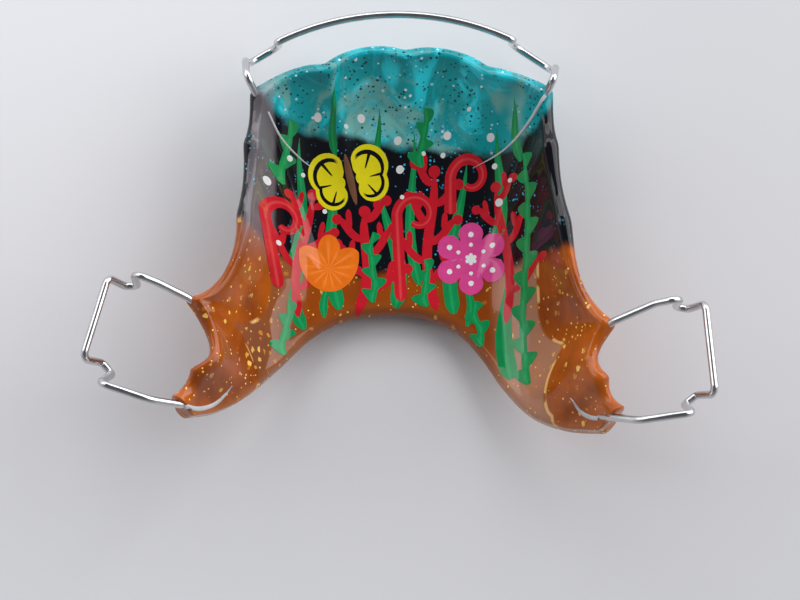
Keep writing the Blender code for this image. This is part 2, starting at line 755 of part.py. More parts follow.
def frond_pattern(base, tip, sway, leaflets, grow):
    """A leafy frond: a swaying stem with leaflets in turn on its two sides."""
    base, tip = in_plan(base), in_plan(tip)
    along = (tip - base).normalized()
    side = Vector((-along.y, along.x))
    steps = 4 * leaflets
    line, left, right = [], [], []
    for i in range(steps + 1):
        s = i / steps
        line.append(base.lerp(tip, s) + side * (sway * math.sin(2 * math.pi * s)))
        stem = STEM_HALF_WIDTH * (1 - 0.8 * s**4)
        size = LEAFLET_LENGTH * (1 - 0.35 * s)
        wave = math.sin(2 * math.pi * leaflets * s)
        left.append(stem + size * max(wave, 0.0))
        right.append(stem + size * max(-wave, 0.0))
    return strip_pattern(line, left, right, LEAFLET_SWEEP, grow)


def scroll_pattern(centre, foot, radius, turn, grow):
    """A stalk that ends in a spiral curl."""
    centre, foot = in_plan(centre), in_plan(foot)
    steps = round(14 * SCROLL_TURNS)
    start = math.pi if turn == 1 else 0.0
    curl = []
    for i in range(steps + 1):
        share = i / steps
        angle = start - turn * 2 * math.pi * SCROLL_TURNS * share
        reach = radius * (1 - 0.58 * share)
        curl.append(centre + Vector((math.cos(angle), math.sin(angle))) * reach)
    stalk = [foot.lerp(curl[0], i / 5) for i in range(5)]
    line = stalk + curl
    widths = [SCROLL_HALF_WIDTH * (1.25 - 0.6 * i / (len(line) - 1)) for i in range(len(line))]
    return strip_pattern(line, widths, widths, 0.0, grow)


def flower_pattern(grow):
    """A round flower with even petals."""
    steps = FLOWER_PETALS * 5
    radii = []
    for i in range(steps):
        petal = abs(math.sin(math.pi * FLOWER_PETALS * i / steps)) ** 0.5
        radii.append(FLOWER_RADIUS * (1 - FLOWER_NOTCH * (1 - petal)))
    return round_pattern(in_plan(FLOWER_CENTRE), radii, grow, rings=2)


def tulip_radius(angle):
    """A round cup below and three points above, one upright and one leaning each way."""
    lean = abs(math.remainder(angle - math.pi / 2, 2 * math.pi))
    if lean < TULIP_POINT_LEAN:
        return TULIP_RADIUS * (0.95 + 0.5 * abs(math.cos(math.pi * lean / TULIP_POINT_LEAN)))
    fall = (lean - TULIP_POINT_LEAN) / (math.pi - TULIP_POINT_LEAN)
    return TULIP_RADIUS * (1.0 + 0.45 * (1 - fall) ** 3)


def tulip_pattern(grow):
    steps = 24
    radii = [tulip_radius(2 * math.pi * i / steps) for i in range(steps)]
    return round_pattern(in_plan(TULIP_CENTRE), radii, grow, rings=2)


def wing_pattern(side, grow):
    """One side of the butterfly: a larger fore wing and a smaller hind wing."""
    turn = Matrix.Rotation(BUTTERFLY_TILT, 2)
    root = BUTTERFLY_BODY_HALF_WIDTH + INLAY_CLEARANCE * 5
    steps = 20
    radii = []
    for i in range(steps):
        angle = 2 * math.pi * i / steps
        fore = max(0.0, math.cos(angle - math.radians(48))) ** 0.8
        hind = 0.8 * max(0.0, math.cos(angle + math.radians(42))) ** 0.8
        radii.append(BUTTERFLY_WING * (0.16 + 0.62 * max(fore, hind)))
    middle = Vector((root + BUTTERFLY_WING * 0.18, 0.0))
    points, faces = round_pattern(middle, radii, grow)
    placed = []
    for p in points:
        inner = max(p.x, root - grow)
        placed.append(in_plan(BUTTERFLY_CENTRE) + turn @ Vector((side * inner, p.y)))
    return placed, faces


def body_pattern(grow):
    """The butterfly's slim body."""
    turn = Matrix.Rotation(BUTTERFLY_TILT, 2)
    line = [
        in_plan(BUTTERFLY_CENTRE) + turn @ Vector((0.0, BUTTERFLY_BODY_LENGTH * (i / 5 - 0.5)))
        for i in range(6)
    ]
    widths = [BUTTERFLY_BODY_HALF_WIDTH * w for w in (0.4, 0.8, 1.0, 1.0, 0.9, 0.5)]
    return strip_pattern(line, widths, widths, 0.0, grow)


def dot_pattern(centre, radius, sides, grow):
    return round_pattern(in_plan(centre), [radius] * sides, grow)


def inlay_patterns():
    """Each inlay's name, its material's name and a function of the clearance that draws it."""
    patterns = []
    for i, (base, tip, sway, leaflets) in enumerate(FRONDS):
        draw = lambda grow, b=base, t=tip, s=sway, n=leaflets: frond_pattern(b, t, s, n, grow)
        patterns.append((f"frond_{i + 1}", "green", draw))
    for i, (centre, foot, radius, turn) in enumerate(SCROLLS):
        draw = lambda grow, c=centre, f=foot, r=radius, t=turn: scroll_pattern(c, f, r, t, grow)
        patterns.append((f"scroll_{i + 1}", "red", draw))
    patterns.append(("flower_petals", "pink", flower_pattern))
    patterns.append(("tulip", "orange", tulip_pattern))
    patterns.append(("butterfly_left_wings", "yellow", lambda grow: wing_pattern(-1, grow)))
    patterns.append(("butterfly_right_wings", "yellow", lambda grow: wing_pattern(1, grow)))
    patterns.append(("butterfly_body", "dark", body_pattern))
    for i, centre in enumerate(DOTS):
        draw = lambda grow, c=centre: dot_pattern(c, DOT_RADIUS, 8, grow)
        patterns.append((f"dot_{i + 1}", "white", draw))
    return patterns


def build_inlays(polished_tree, paints, parent):
    """The inlays, flush with the polished side, and one mesh with the pockets they lie in."""
    pockets = []
    for name, paint, draw in inlay_patterns():
        points, faces = draw(0.0)
        mesh = slab(name, points, faces, polished_tree, 0.0, INLAY_THICKNESS)
        new_object(name, mesh, paints[paint], parent)
        points, faces = draw(INLAY_CLEARANCE)
        depth = INLAY_THICKNESS + INLAY_BED_CLEARANCE
        pockets.append(slab(f"{name}_pocket", points, faces, polished_tree, PLATE_THICKNESS / 2, depth))
    return joined_mesh("inlay_pockets", pockets)


def stand_on_floor(carrier):
    """Leans the retainer into its rest pose and puts the origin under the middle of its box."""
    carrier.rotation_euler = (REST_LEAN, 0.0, 0.0)
    bpy.context.view_layer.update()
    graph = bpy.context.evaluated_depsgraph_get()
    corners = []
    for thing in carrier.children:
        if thing.hide_render:
            continue
        shown = thing.evaluated_get(graph)
        mesh = shown.to_mesh()
        corners += [shown.matrix_world @ v.co for v in mesh.vertices]
        shown.to_mesh_clear()
    low = [min(c[k] for c in corners) for k in range(3)]
    high = [max(c[k] for c in corners) for k in range(3)]
    carrier.location = (-(low[0] + high[0]) / 2, -(low[1] + high[1]) / 2, -low[2])


def main():
    clear_scene()
    steel = resin("stainless_wire", (0.66, 0.66, 0.67), roughness=0.2, metallic=1.0)
    fields = [
        resin("amber_resin", (0.46, 0.15, 0.02)),
        resin("dark_resin", (0.012, 0.014, 0.022)),
        resin("teal_resin", (0.01, 0.32, 0.35)),
    ]
    paints = {
        "green": resin("green_inlay", (0.01, 0.36, 0.13)),
        "red": resin("red_inlay", (0.60, 0.02, 0.03)),
        "pink": resin("pink_inlay", (0.75, 0.10, 0.29)),
        "orange": resin("orange_inlay", (0.88, 0.22, 0.02)),
        "yellow": resin("yellow_inlay", (0.83, 0.70, 0.02)),
        "dark": resin("dark_inlay", (0.01, 0.01, 0.02)),
        "white": resin("white_inlay", (0.82, 0.85, 0.85)),
    }
    carrier = bpy.data.objects.new("retainer", None)
    bpy.context.scene.collection.objects.link(carrier)

    middle, polished, tissue = plate_surfaces()
    middle_tree, polished_tree = surface_tree(middle), surface_tree(polished)
    plate = build_plate(polished, tissue, fields, carrier)

    channels = build_bow(middle_tree, steel, carrier)
    for name, side in (("left_clasp", -1), ("right_clasp", 1)):
        entries = clasp_entries(side, polished)
        channels += build_clasp(name, side, entries, middle_tree, steel, carrier)
    channel_cutter = joined_mesh("tag_channels", [channel_mesh(path) for path in channels])
    cut(plate, helper_object("tag_channels", channel_cutter, carrier), "tag channels")

    pocket_cutter = build_inlays(polished_tree, paints, carrier)
    cut(plate, helper_object("inlay_pockets", pocket_cutter, carrier), "inlay pockets")
    stand_on_floor(carrier)


main()
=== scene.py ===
"""Finishes the Hawley retainer: clear cast resin with glitter, a painted garden and polished wires."""

import math

import bpy
from mathutils import Matrix, Vector
from mathutils.bvhtree import BVHTree


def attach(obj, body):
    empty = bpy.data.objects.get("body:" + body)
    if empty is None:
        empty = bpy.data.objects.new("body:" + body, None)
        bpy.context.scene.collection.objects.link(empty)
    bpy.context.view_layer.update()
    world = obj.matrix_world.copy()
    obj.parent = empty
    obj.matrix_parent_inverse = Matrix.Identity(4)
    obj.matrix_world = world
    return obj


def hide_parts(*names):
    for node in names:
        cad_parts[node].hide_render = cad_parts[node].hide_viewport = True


bl_info = {
    "name": "Hawley retainer",
    "version": (1, 0, 0),
    "blender": (4, 5, 0),
    "location": "View3D > Sidebar > Retainer",
    "description": "Models a resin palate plate with a painted garden, a labial bow and two clasps",
    "category": "Add Mesh",
}

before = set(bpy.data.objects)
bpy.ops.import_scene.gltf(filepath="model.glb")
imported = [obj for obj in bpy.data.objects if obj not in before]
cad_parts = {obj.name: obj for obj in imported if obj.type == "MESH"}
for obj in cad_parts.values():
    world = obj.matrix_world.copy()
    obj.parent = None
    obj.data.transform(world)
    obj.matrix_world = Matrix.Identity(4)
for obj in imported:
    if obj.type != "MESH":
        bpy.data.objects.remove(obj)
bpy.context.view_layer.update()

# How the retainer lies on the table: its lean about X, and where its biting-plane frame sits.
REST_LEAN = math.radians(-7.0)
REST_PLACE = (0.000083, -0.008402, 0.000449)

# Each tooth along the margin: where it starts in plan, how far the resin swells onto it, where that
# peaks, and the share of the rear edge behind the start. From the left molar round to the right one.
TOOTH_MARGINS = (
    ((-0.0198, -0.0097), -0.0001, 0.50, 0.000),
    ((-0.0183, -0.0072), -0.0019, 0.30, 0.105),
    ((-0.0192, -0.0006), -0.0017, 0.40, 0.240),
    ((-0.0143, 0.0073), -0.0001, 0.50, 0.335),
    ((-0.0137, 0.0142), -0.0001, 0.50, 0.385),
    ((-0.0133, 0.0189), 0.0009, 0.55, 0.425),
    ((-0.0068, 0.0213), 0.0013, 0.50, 0.465),
    ((0.0005, 0.0227), 0.0012, 0.50, 0.502),
    ((0.0079, 0.0211), 0.0006, 0.50, 0.540),
    ((0.0136, 0.0191), -0.0001, 0.50, 0.575),
    ((0.0139, 0.0140), -0.0001, 0.50, 0.610),
    ((0.0150, 0.0068), -0.0012, 0.60, 0.660),
    ((0.0191, -0.0029), -0.0012, 0.60, 0.760),
    ((0.0183, -0.0079), -0.0003, 0.50, 0.890),
)
MARGIN_END = (0.0195, -0.0107)
SWELL_FULLNESS = 0.75
REAR_EDGE = (
    (-0.0190, -0.0110),
    (-0.0166, -0.0100),
    (-0.0139, -0.0080),
    (-0.0110, -0.0050),
    (-0.0080, -0.0019),
    (-0.0045, -0.0001),
    (0.0000, 0.0003),
    (0.0026, -0.0001),
    (0.0053, -0.0014),
    (0.0075, -0.0039),
    (0.0096, -0.0071),
    (0.0120, -0.0098),
    (0.0150, -0.0114),
    (0.0180, -0.0122),
)
VAULT_STEEPNESS = 3.0
ARM_STEEPNESS = 1.4
# Where, from the middle out, the vault's slope starts to turn into the arms', and where it has.
ARM_BLEND = (0.3, 0.7)
MARGIN_BLEND = 5.0
MOST_EVENING = 1.15
MOST_CLIMB = 1.1
# The most that a rounded edge takes of the plate's width there, and the turns that round it.
REAR_NOSE_SHARE = 0.35
TOOTH_NOSE_SHARE = 0.2
NOSE_TURNS = [math.radians(a) for a in (0, 18, 36, 54, 72)]
TIP_LOOPS = 4
TIP_NARROWING = 0.3

# Labial bow: the two legs of each loop, the crossing between canine and incisor, and the apex.
BOW_APEX = (0.0, 0.0266)
BOW_LEGS = {
    -1: ((-0.0113, 0.0239), (-0.0142, 0.0221)),
    1: ((0.0104, 0.0241), (0.0143, 0.0214)),
}
BOW_CROSSING = {-1: (-0.0140, 0.0200), 1: (0.0140, 0.0197)}
BOW_ENTRY_TOOTH = {-1: 5, 1: 9}
BOW_TAGS = {
    -1: ((-0.0122, 0.0178), (-0.0110, 0.0164), (-0.0088, 0.0147), (-0.0066, 0.0136), (-0.0044, 0.0127)),
    1: ((0.0126, 0.0176), (0.0113, 0.0162), (0.0092, 0.0149), (0.0068, 0.0140), (0.0047, 0.0129)),
}

# Clasps: left is -1 and right is 1. Insets are measured in from the bridge, depths below the bite.
CLASPS = {-1: "left_clasp", 1: "right_clasp"}
CLASP_ENTRY_TOOTH = {-1: 2, 1: 12}
CLASP_BRIDGE_LENGTH = {-1: 0.0078, 1: 0.0084}
CLASP_BRIDGE_MIDDLE = {-1: (-0.02730, -0.00276), 1: (0.02772, -0.00560)}
CLASP_FLARE = {-1: math.radians(15.6), 1: math.radians(4.8)}
MESIAL_ARM_FORWARD = {-1: 0.00445, 1: 0.00436}
DISTAL_ARM_BACK = {-1: 0.00602, 1: 0.00615}
MESIAL_ARROWHEAD = ((0.0013, 0.0003), (0.0024, 0.0006))
DISTAL_ARROWHEAD = ((0.0014, 0.0007), (0.0026, -0.0001))
MESIAL_SADDLES = ((0.0046, 0.0021),)
DISTAL_SADDLES = ((0.0046, 0.0015), (0.0070, 0.0022))
MESIAL_TAGS = {
    -1: ((-0.0178, -0.0012), (-0.0158, -0.0019), (-0.0138, -0.0024), (-0.0121, -0.0030)),
    1: ((0.0176, -0.0035), (0.0158, -0.0041), (0.0140, -0.0046), (0.0124, -0.0049)),
}
DISTAL_TAGS = {
    -1: ((-0.0179, -0.0094), (-0.0161, -0.0080), (-0.0148, -0.0066), (-0.0138, -0.0050)),
    1: ((0.0175, -0.0108), (0.0160, -0.0097), (0.0149, -0.0084), (0.0137, -0.0071)),
}
# The height above the plate from which points are dropped onto it.
DROP_HEIGHT = 0.05
# Distance between the points of a cast-in tag, the turn between those of a bend, the turn that is
# left out as straight, and the steps along the bow's front.
TAG_STEP = 0.0011
BEND_STEP = math.radians(7.5)
STRAIGHT_ENOUGH = math.radians(0.5)
BOW_STEPS = 48

# Where the cast-in ends are seen through the resin: the wire, half the width and four places. The
# dome is how far the middle stands up, as a share of half the width.
SEEN_ENDS = (
    ("left_clasp", 0.00019, (-0.0192, -0.0106), (-0.0179, -0.0103), (-0.0165, -0.0094), (-0.0152, -0.0078)),
    ("right_clasp", 0.00017, (0.0178, -0.0113), (0.0170, -0.0109), (0.0162, -0.0102), (0.0154, -0.0091)),
    ("left_bow", 0.00011, (-0.0121, 0.0173), (-0.0110, 0.0156), (-0.0093, 0.0142), (-0.0079, 0.0134)),
    ("right_bow", 0.00015, (0.0133, 0.0185), (0.0117, 0.0165), (0.0097, 0.0149), (0.0068, 0.0136)),
)
SEEN_END_DOME = 0.4

# Painted garden. Fronds: foot, tip, sway and pairs of leaflets.
FRONDS = (
    ((-0.0107, -0.0040), (-0.0104, 0.0012), 0.0002, 2),
    ((-0.0109, 0.0115), (-0.0102, 0.0172), 0.0002, 2),
    ((-0.0026, 0.0013), (-0.0025, 0.0080), -0.0002, 3),
    ((0.0025, 0.0009), (0.0023, 0.0054), 0.0002, 2),
    ((0.0020, 0.0138), (0.0023, 0.0186), 0.0002, 2),
    ((0.0074, -0.0030), (0.0070, 0.0014), -0.0002, 2),
    ((0.0117, -0.0070), (0.0114, 0.0142), 0.0003, 7),
)
LEAFLET_SWEEP = 0.45
# Scrolls: the curl's centre, the stalk's foot and the curl's radius.
SCROLLS = (
    ((0.0016, 0.0096), (0.0001, 0.0014), 0.0019),
    ((0.0065, 0.0128), (0.0047, 0.0096), 0.0018),
    ((-0.0107, 0.0084), (-0.0112, 0.0022), 0.0017),
)
SCROLL_TURNS = 0.85
CURL_TIGHTENING = 0.58
# The distance between the points along a grass blade or a twig.
STROKE_STEP = 0.0003
FLOWER_CENTRE = (0.0066, 0.0054)
FLOWER_PETALS = 6
TULIP_CENTRE = (-0.0066, 0.0045)
TULIP_POINT_LEAN = math.radians(60)
BUTTERFLY_CENTRE = (-0.0046, 0.0126)
BUTTERFLY_TILT = math.radians(14)
# The gap between wings and body, and how far out the wings' middle lies as a share of their reach.
WING_GAP = 0.0001
WING_MIDDLE = 0.18
DOTS = (
    (-0.0122, 0.0112),
    (-0.0076, 0.0176),
    (-0.0036, 0.0178),
    (-0.0002, 0.0160),
    (0.0044, 0.0164),
    (0.0084, 0.0160),
    (0.0092, 0.0104),
    (0.0000, 0.0136),
)
# Berry sprigs: foot and tip of the stem, its sideways bow, half-width, number of shoots and reach.
SPRIGS = (
    ((-0.0094, -0.0002), (-0.0086, 0.0112), 0.0005, 0.00042, 5, 0.0050),
    ((-0.0040, 0.0002), (-0.0028, 0.0098), -0.0005, 0.00046, 5, 0.0052),
    ((0.0034, 0.0006), (0.0026, 0.0134), 0.0006, 0.00046, 6, 0.0048),
    ((0.0098, -0.0008), (0.0094, 0.0118), -0.0005, 0.00040, 5, 0.0042),
)
SHOOT_TURN = math.radians(46)
FORK_TURN = math.radians(48)
# Where on the stem the first shoot starts, over how much of it the shoots spread, how far a shoot
# bows sideways, where on it the fork starts, and the fork's share of the reach.
FIRST_SHOOT = 0.22
SHOOT_SPREAD = 0.68
SHOOT_BOW = 0.0002
FORK_PLACE = 0.55
FORK_REACH = 0.36
# Half-widths of the shoots and forks, and radii of the berries at the tip and at the shoots, as
# shares of the stem's half-width.
SHOOT_WIDTH = 0.78
FORK_WIDTH = 0.62
TIP_BERRY = 1.2
SHOOT_BERRY = 1.05
# How sharply a stroke narrows at its tip: grass, twigs and a sprig's stem.
BLADE_FULLNESS = 2.6
TWIG_FULLNESS = 10.0
STEM_FULLNESS = 8.0
# Grass blades: foot, tip, sideways bow and half-width.
BLADES = (
    ((-0.0070, -0.0002), (-0.0066, 0.0040), 0.0002, 0.00040),
    ((0.0062, -0.0010), (0.0064, 0.0040), -0.0003, 0.00042),
    ((-0.0088, -0.0014), (-0.0098, 0.0056), 0.0006, 0.00062),
    ((-0.0004, 0.0008), (-0.0012, 0.0118), -0.0006, 0.00070),
    ((0.0050, 0.0002), (0.0056, 0.0142), 0.0006, 0.00068),
    ((0.0102, -0.0062), (0.0096, 0.0040), 0.0004, 0.00085),
    ((0.0088, 0.0060), (0.0094, 0.0166), -0.0004, 0.00060),
    ((-0.0056, 0.0006), (-0.0066, 0.0142), 0.0005, 0.00066),
    ((-0.0100, 0.0046), (-0.0088, 0.0158), -0.0005, 0.00052),
    ((0.0018, 0.0030), (0.0008, 0.0168), 0.0005, 0.00050),
    ((-0.0018, 0.0108), (-0.0022, 0.0186), 0.0003, 0.00044),
    ((0.0112, 0.0136), (0.0103, 0.0188), 0.0002, 0.00040),
    ((-0.0060, 0.0146), (-0.0062, 0.0196), 0.0002, 0.00038),
)
# Small white dots scattered over the garden: place in plan and radius.
SPECKS = (
    (-0.0102, 0.0140, 0.00026),
    (-0.0090, 0.0128, 0.00020),
    (-0.0112, 0.0062, 0.00024),
    (-0.0070, 0.0098, 0.00022),
    (-0.0016, 0.0140, 0.00026),
    (0.0022, 0.0150, 0.00020),
    (0.0040, 0.0148, 0.00024),
    (0.0088, 0.0136, 0.00026),
    (0.0102, 0.0122, 0.00020),
    (0.0002, 0.0112, 0.00020),
    (-0.0050, 0.0170, 0.00020),
    (0.0064, 0.0182, 0.00018),
)
# How high each kind of paint lies, as a share of the paint's lift, so that they overlap in order. Each
# blade of grass and each twig lies one more step above the last.
LAYERS = {
    "blade": 0.30,
    "seen_end": 0.5,
    "twig": 0.62,
    "berry": 0.85,
    "frond": 1.0,
    "dot": 1.0,
    "scroll": 1.1,
    "speck": 1.2,
    "bloom": 1.3,
    "butterfly_body": 1.5,
}
BLADE_STEP = 0.02
TWIG_STEP = 0.012
PAINT_FILM = 0.00012
SHARP_EDGE = math.radians(50)

# Glitter: the spacing of its cells, a flake's size as a share of that, the share of the cells that
# hold one, and how ragged its outline is.
GLITTER = {
    "teal_specks": (0.00036, 0.27, 0.6, 0.0),
    "teal_sparks": (0.0005, 0.22, 0.22, 0.0),
    "teal_shower": (0.00034, 0.27, 0.5, 0.0),
    "night_sparks": (0.00036, 0.25, 0.55, 0.0),
    "gold_flakes": (0.0008, 0.24, 0.6, 0.6),
    "gold_dust": (0.0004, 0.2, 0.22, 0.0),
}
# Patches of noise: its scale, where on it a patch starts and where it is full, and, where they aren't
# the usual ones, the noise's detail, roughness and distortion.
PATCHES = {
    "teal_swirls": (200.0, 0.48, 0.66, 3.0, 0.55, 1.6),
    "teal_clouds": (150.0, 0.52, 0.70, 4.0, 0.62, 1.0),
    "teal_specks": (260.0, 0.36, 0.54),
    "teal_shower": (170.0, 0.50, 0.62),
    "night_sparks": (180.0, 0.42, 0.62),
    "amber_streaks": (120.0, 0.35, 0.75, 4.0, 0.6, 0.8),
    "gold_flakes": (230.0, 0.38, 0.60),
    "crest_highlight": (300.0, 0.50, 0.56, 1.0),
    "brushed": (900.0, 0.3, 0.8, 3.0, 0.6, 0.4),
    "tarnish": (700.0, 0.3, 0.8, 3.0),
}
# The borders between the resin's fields. A bank is how far out and how sharply a border turns up the
# side walls, a climb how far it goes, a lean how far it moves for each metre to the right, and a
# border's place how far forward it crosses the middle.
BORDER_WAVES = 0.0022
TEAL_BANK = (0.0133, 6.0)
TEAL_CLIMB = 0.0034
TEAL_LEAN = -0.12
TEAL_PLACE = 0.0078
TEAL_BLEND = (-0.0006, 0.0006)
AMBER_BANK = (0.0125, 3.0)
AMBER_CLIMB = 0.0016
AMBER_CLIMB_LEAN = -0.064
AMBER_PLACE = -0.0042
AMBER_BLEND = (-0.0006, 0.0008)
# Where the arms start, from the middle out, and how far their crest lies from the teeth at the
# middle of the table and how much nearer for each metre forward.
ARM_START = (0.0080, 0.0105)
CREST_PLACE = 0.0021
CREST_DRIFT = 0.12
# Where the painted reflection down the left side wall fades: inwards over the left wall, backwards, and
# outwards.
WALL_REFLECTION_INNER = (-0.0117, -0.0112)
WALL_REFLECTION_REAR = (-0.0045, 0.0)
WALL_REFLECTION_OUTER = (-0.0156, -0.0148)

# Soft boxes: bearing from +X towards +Y and height angle in degrees, width, height and radiance.
SOFT_BOXES = (
    ("key_soft_box", 25.0, 31.0, 0.43, 0.42, 2.6),
    ("left_soft_box", 153.0, 42.0, 0.20, 0.26, 2.2),
    ("front_soft_box", 90.0, 38.0, 0.50, 0.18, 2.6),
)
SOFT_BOX_DISTANCE = 0.4
# The even room's colours: behind the arch, ahead of it, and overhead.
ROOM_BEHIND = (0.30, 0.305, 0.315)
ROOM_AHEAD = (1.00, 1.005, 1.015)
ROOM_OVERHEAD = (0.10, 0.105, 0.115)
CAMERA_DISTANCE = 0.3
CAMERA_ELEVATION = math.radians(75.0)
CAMERA_LENS = 148.5
CAMERA_AIM_DEPTH = 0.007


def linear(red, green, blue):
    """A linear colour from the 0 to 255 values that a colour picker shows."""
    shares = [value / 255 for value in (red, green, blue)]
    return tuple(s / 12.92 if s <= 0.04045 else ((s + 0.055) / 1.055) ** 2.4 for s in shares)


def length(name, description, value):
    return bpy.props.FloatProperty(name=name, description=description, default=value, unit="LENGTH")


def count(name, description, value, least):
    return bpy.props.IntProperty(name=name, description=description, default=value, min=least)


def colour_property(name, description, value):
    return bpy.props.FloatVectorProperty(
        name=name, description=description, default=value, subtype="COLOR", min=0.0, max=1.0
    )


class RetainerSizes(bpy.types.PropertyGroup):
    """Sizes of the plate, the wires and the painted garden."""

    vault_height: length("Vault height", "From the vault's lowest point up to the biting plane", 0.01515)
    plate_thickness: length("Plate thickness", "Thickness of the resin over the vault", 0.0023)
    contact_thickness: length("Contact thickness", "Thickness of the edge between two teeth", 0.0016)
    tooth_edge_thickness: length("Tooth edge thickness", "Thickness of the edge at mid tooth", 0.0012)
    margin_depth: length("Margin depth", "How far the edge lies below the biting plane", 0.0044)
    contact_rise: length("Contact rise", "How far the edge climbs between two teeth", 0.0007)
    rear_edge_rise: length("Rear edge rise", "Climb of the rear edge out to the tips of the arms", 0.0070)
    rear_edge_span: length("Rear edge span", "From the middle to the end of that climb", 0.0190)
    rear_nose: length("Rear nose", "Length of the rounding at the rear edge", 0.0010)
    tooth_nose: length("Tooth nose", "Length of the rounding at the edge against the teeth", 0.0003)
    tip_rounding: length("Tip rounding", "Length of the rounding at the tips of the arms", 0.00035)
    raphe_depth: length("Midline groove", "Depth of the groove underneath, along the middle", 0.00028)
    raphe_half_width: length("Midline groove half width", "Half the width of that groove", 0.0022)
    steps_per_tooth: count("Steps per tooth", "Stations along the margin of each tooth", 10, 5)
    steps_across: count("Steps across", "Steps from the rear edge to the teeth", 26, 7)
    wire_diameter: length("Wire diameter", "Diameter of the bow's and clasps' round wire", 0.0007)
    wire_bend_radius: length("Wire bend radius", "Radius of a plain bend in the wire", 0.0007)
    saddle_bend_radius: length("Saddle bend radius", "Radius where the wire crosses the teeth", 0.0025)
    bow_depth: length("Bow depth", "How far the bow's front lies below the biting plane", 0.0045)
    bow_loop_drop: length("Loop drop", "Length of the bow's two loops", 0.0048)
    bow_loop_flare: length("Loop flare", "How far the loops stand out at their ends", 0.0013)
    bow_loop_corner_radius: length("Loop corner radius", "Radius of the corners of the loops", 0.0012)
    bow_crossing_depth: length("Bow crossing depth", "Depth where the bow passes the canine", 0.0024)
    clasp_bridge_depth: length("Bridge depth", "Depth of the clasp's bridge below the biting plane", 0.0030)
    clasp_crossing_depth: length("Clasp crossing depth", "Depth where the clasp passes the teeth", 0.0010)
    clasp_arm_inset: length("Clasp arm inset", "From the bridge in to where the arms turn down", 0.0024)
    arrowhead_depth: length("Arrowhead depth", "Depth at which the arrowheads grip the molar", 0.0056)
    arrowhead_bend_radius: length("Arrowhead bend radius", "Radius of the arrowheads' bends", 0.0005)
    paint_lift: length("Paint lift", "How far the painted shapes stand above the resin", 0.00003)
    stem_half_width: length("Stem half width", "Half the width of a frond's stem", 0.00030)
    leaflet_length: length("Leaflet length", "How far the leaflets reach out from the stem", 0.0009)
    scroll_half_width: length("Scroll half width", "Half the width of the scrolls' strokes", 0.00046)
    flower_radius: length("Flower radius", "From the flower's middle to its petals' tips", 0.0034)
    tulip_radius: length("Tulip radius", "Radius of the tulip's cup", 0.0022)
    butterfly_wing: length("Wing size", "Reach of the butterfly's wings", 0.0039)
    butterfly_body_length: length("Butterfly body length", "Length of the butterfly's body", 0.0044)
    butterfly_body_half_width: length("Butterfly body half width", "Half the width of its body", 0.00034)
    dot_radius: length("Dot radius", "Radius of the white dots", 0.00036)


class RetainerColours(bpy.types.PropertyGroup):
    """Colours of the resin, the glitter, the paint and the steel."""

    amber: colour_property("Amber", "Resin over the arms", linear(184, 90, 5))
    deep_amber: colour_property("Deep amber", "Darker streaks in the amber", linear(128, 55, 3))
    pale_amber: colour_property("Pale amber", "Light through the thin rear edge", linear(196, 122, 66))
    night: colour_property("Night", "Resin across the middle", linear(5, 6, 16))
    teal: colour_property("Teal", "Resin behind the incisors", linear(2, 164, 170))
    deep_teal: colour_property("Deep teal", "The teal along the front teeth", linear(0, 92, 106))
    bright_teal: colour_property("Bright teal", "Bright swirls in the teal", linear(36, 226, 240))
    # Sage: partly the pale cast under the clear teal, partly painted reflection.
    sage: colour_property("Sage", "Pale clouds in the teal", linear(152, 198, 182))
    gold: colour_property("Gold flakes", "Glitter in the amber", linear(250, 208, 104))
    blue_glitter: colour_property("Blue glitter", "Glitter in the dark resin", linear(60, 190, 235))
    specks: colour_property("Dark specks", "Dark glitter in the teal", linear(4, 34, 52))
    leaf: colour_property("Leaf", "Fronds and grass", linear(10, 146, 80))
    twig: colour_property("Twig", "Scrolls and twigs", linear(206, 24, 42))
    petal: colour_property("Petal", "The flower", linear(226, 74, 150))
    tulip: colour_property("Tulip", "The tulip", linear(246, 122, 22))
    wing: colour_property("Wing", "The butterfly's wings", linear(238, 226, 26))
    ink: colour_property("Ink", "The butterfly's body", linear(126, 84, 62))
    rose: colour_property("Rose", "Light line along the scrolls", linear(244, 96, 92))
    chalk: colour_property("Chalk", "The white dots", linear(236, 240, 240))
    seen_wire: colour_property("Seen wire", "The wire ends through the resin", linear(200, 202, 206))
    # Painted reflection: a dull shine on the inner slopes of the arms, darker on the left and brighter on
    # the right.
    slope_reflection: colour_property("Haze", "Dull shine on the inner slope of the left arm", linear(126, 82, 58))
    bright_slope_reflection: colour_property("Bright haze", "The same on the right arm", linear(184, 144, 120))
    # Painted highlights: broken gold lines along the arms' crests.
    crest_highlight: colour_property("Crest", "Broken gold lines along the arms", linear(246, 200, 130))
    # Painted reflection: a pale shine down the left side wall.
    wall_reflection: colour_property("Veil", "Pale shine down the left side wall", linear(150, 142, 148))
    steel: colour_property("Steel", "The wires", (0.66, 0.66, 0.68))
    table: colour_property("Table", "The table and the backdrop", linear(232, 232, 236))


def sizes():
    return bpy.context.scene.retainer_sizes


def colours():
    return bpy.context.scene.retainer_colours


def shade(colour, factor, lift=0.0):
    """A darker or lighter version of a colour."""
    return tuple(min(1.0, channel * factor + lift) for channel in colour)


# Shape of the plate


def smooth_step(low, high, value):
    t = min(max((value - low) / (high - low), 0.0), 1.0)
    return t * t * (3 - 2 * t)


def spline_through(places, steps):
    """Points of a smooth curve that passes through the given places."""
    points = [Vector(place) for place in places]
    ends = [points[0] * 2 - points[1], *points, points[-1] * 2 - points[-2]]
    curve = []
    for a, b, c, d in zip(ends, ends[1:], ends[2:], ends[3:]):
        for i in range(steps):
            t = i / steps
            curve.append(
                b
                + (c - a) * (t / 2)
                + (a * 2 - b * 5 + c * 4 - d) * (t * t / 2)
                + (b * 3 - a - c * 3 + d) * (t**3 / 2)
            )
    curve.append(points[-1].copy())
    return curve


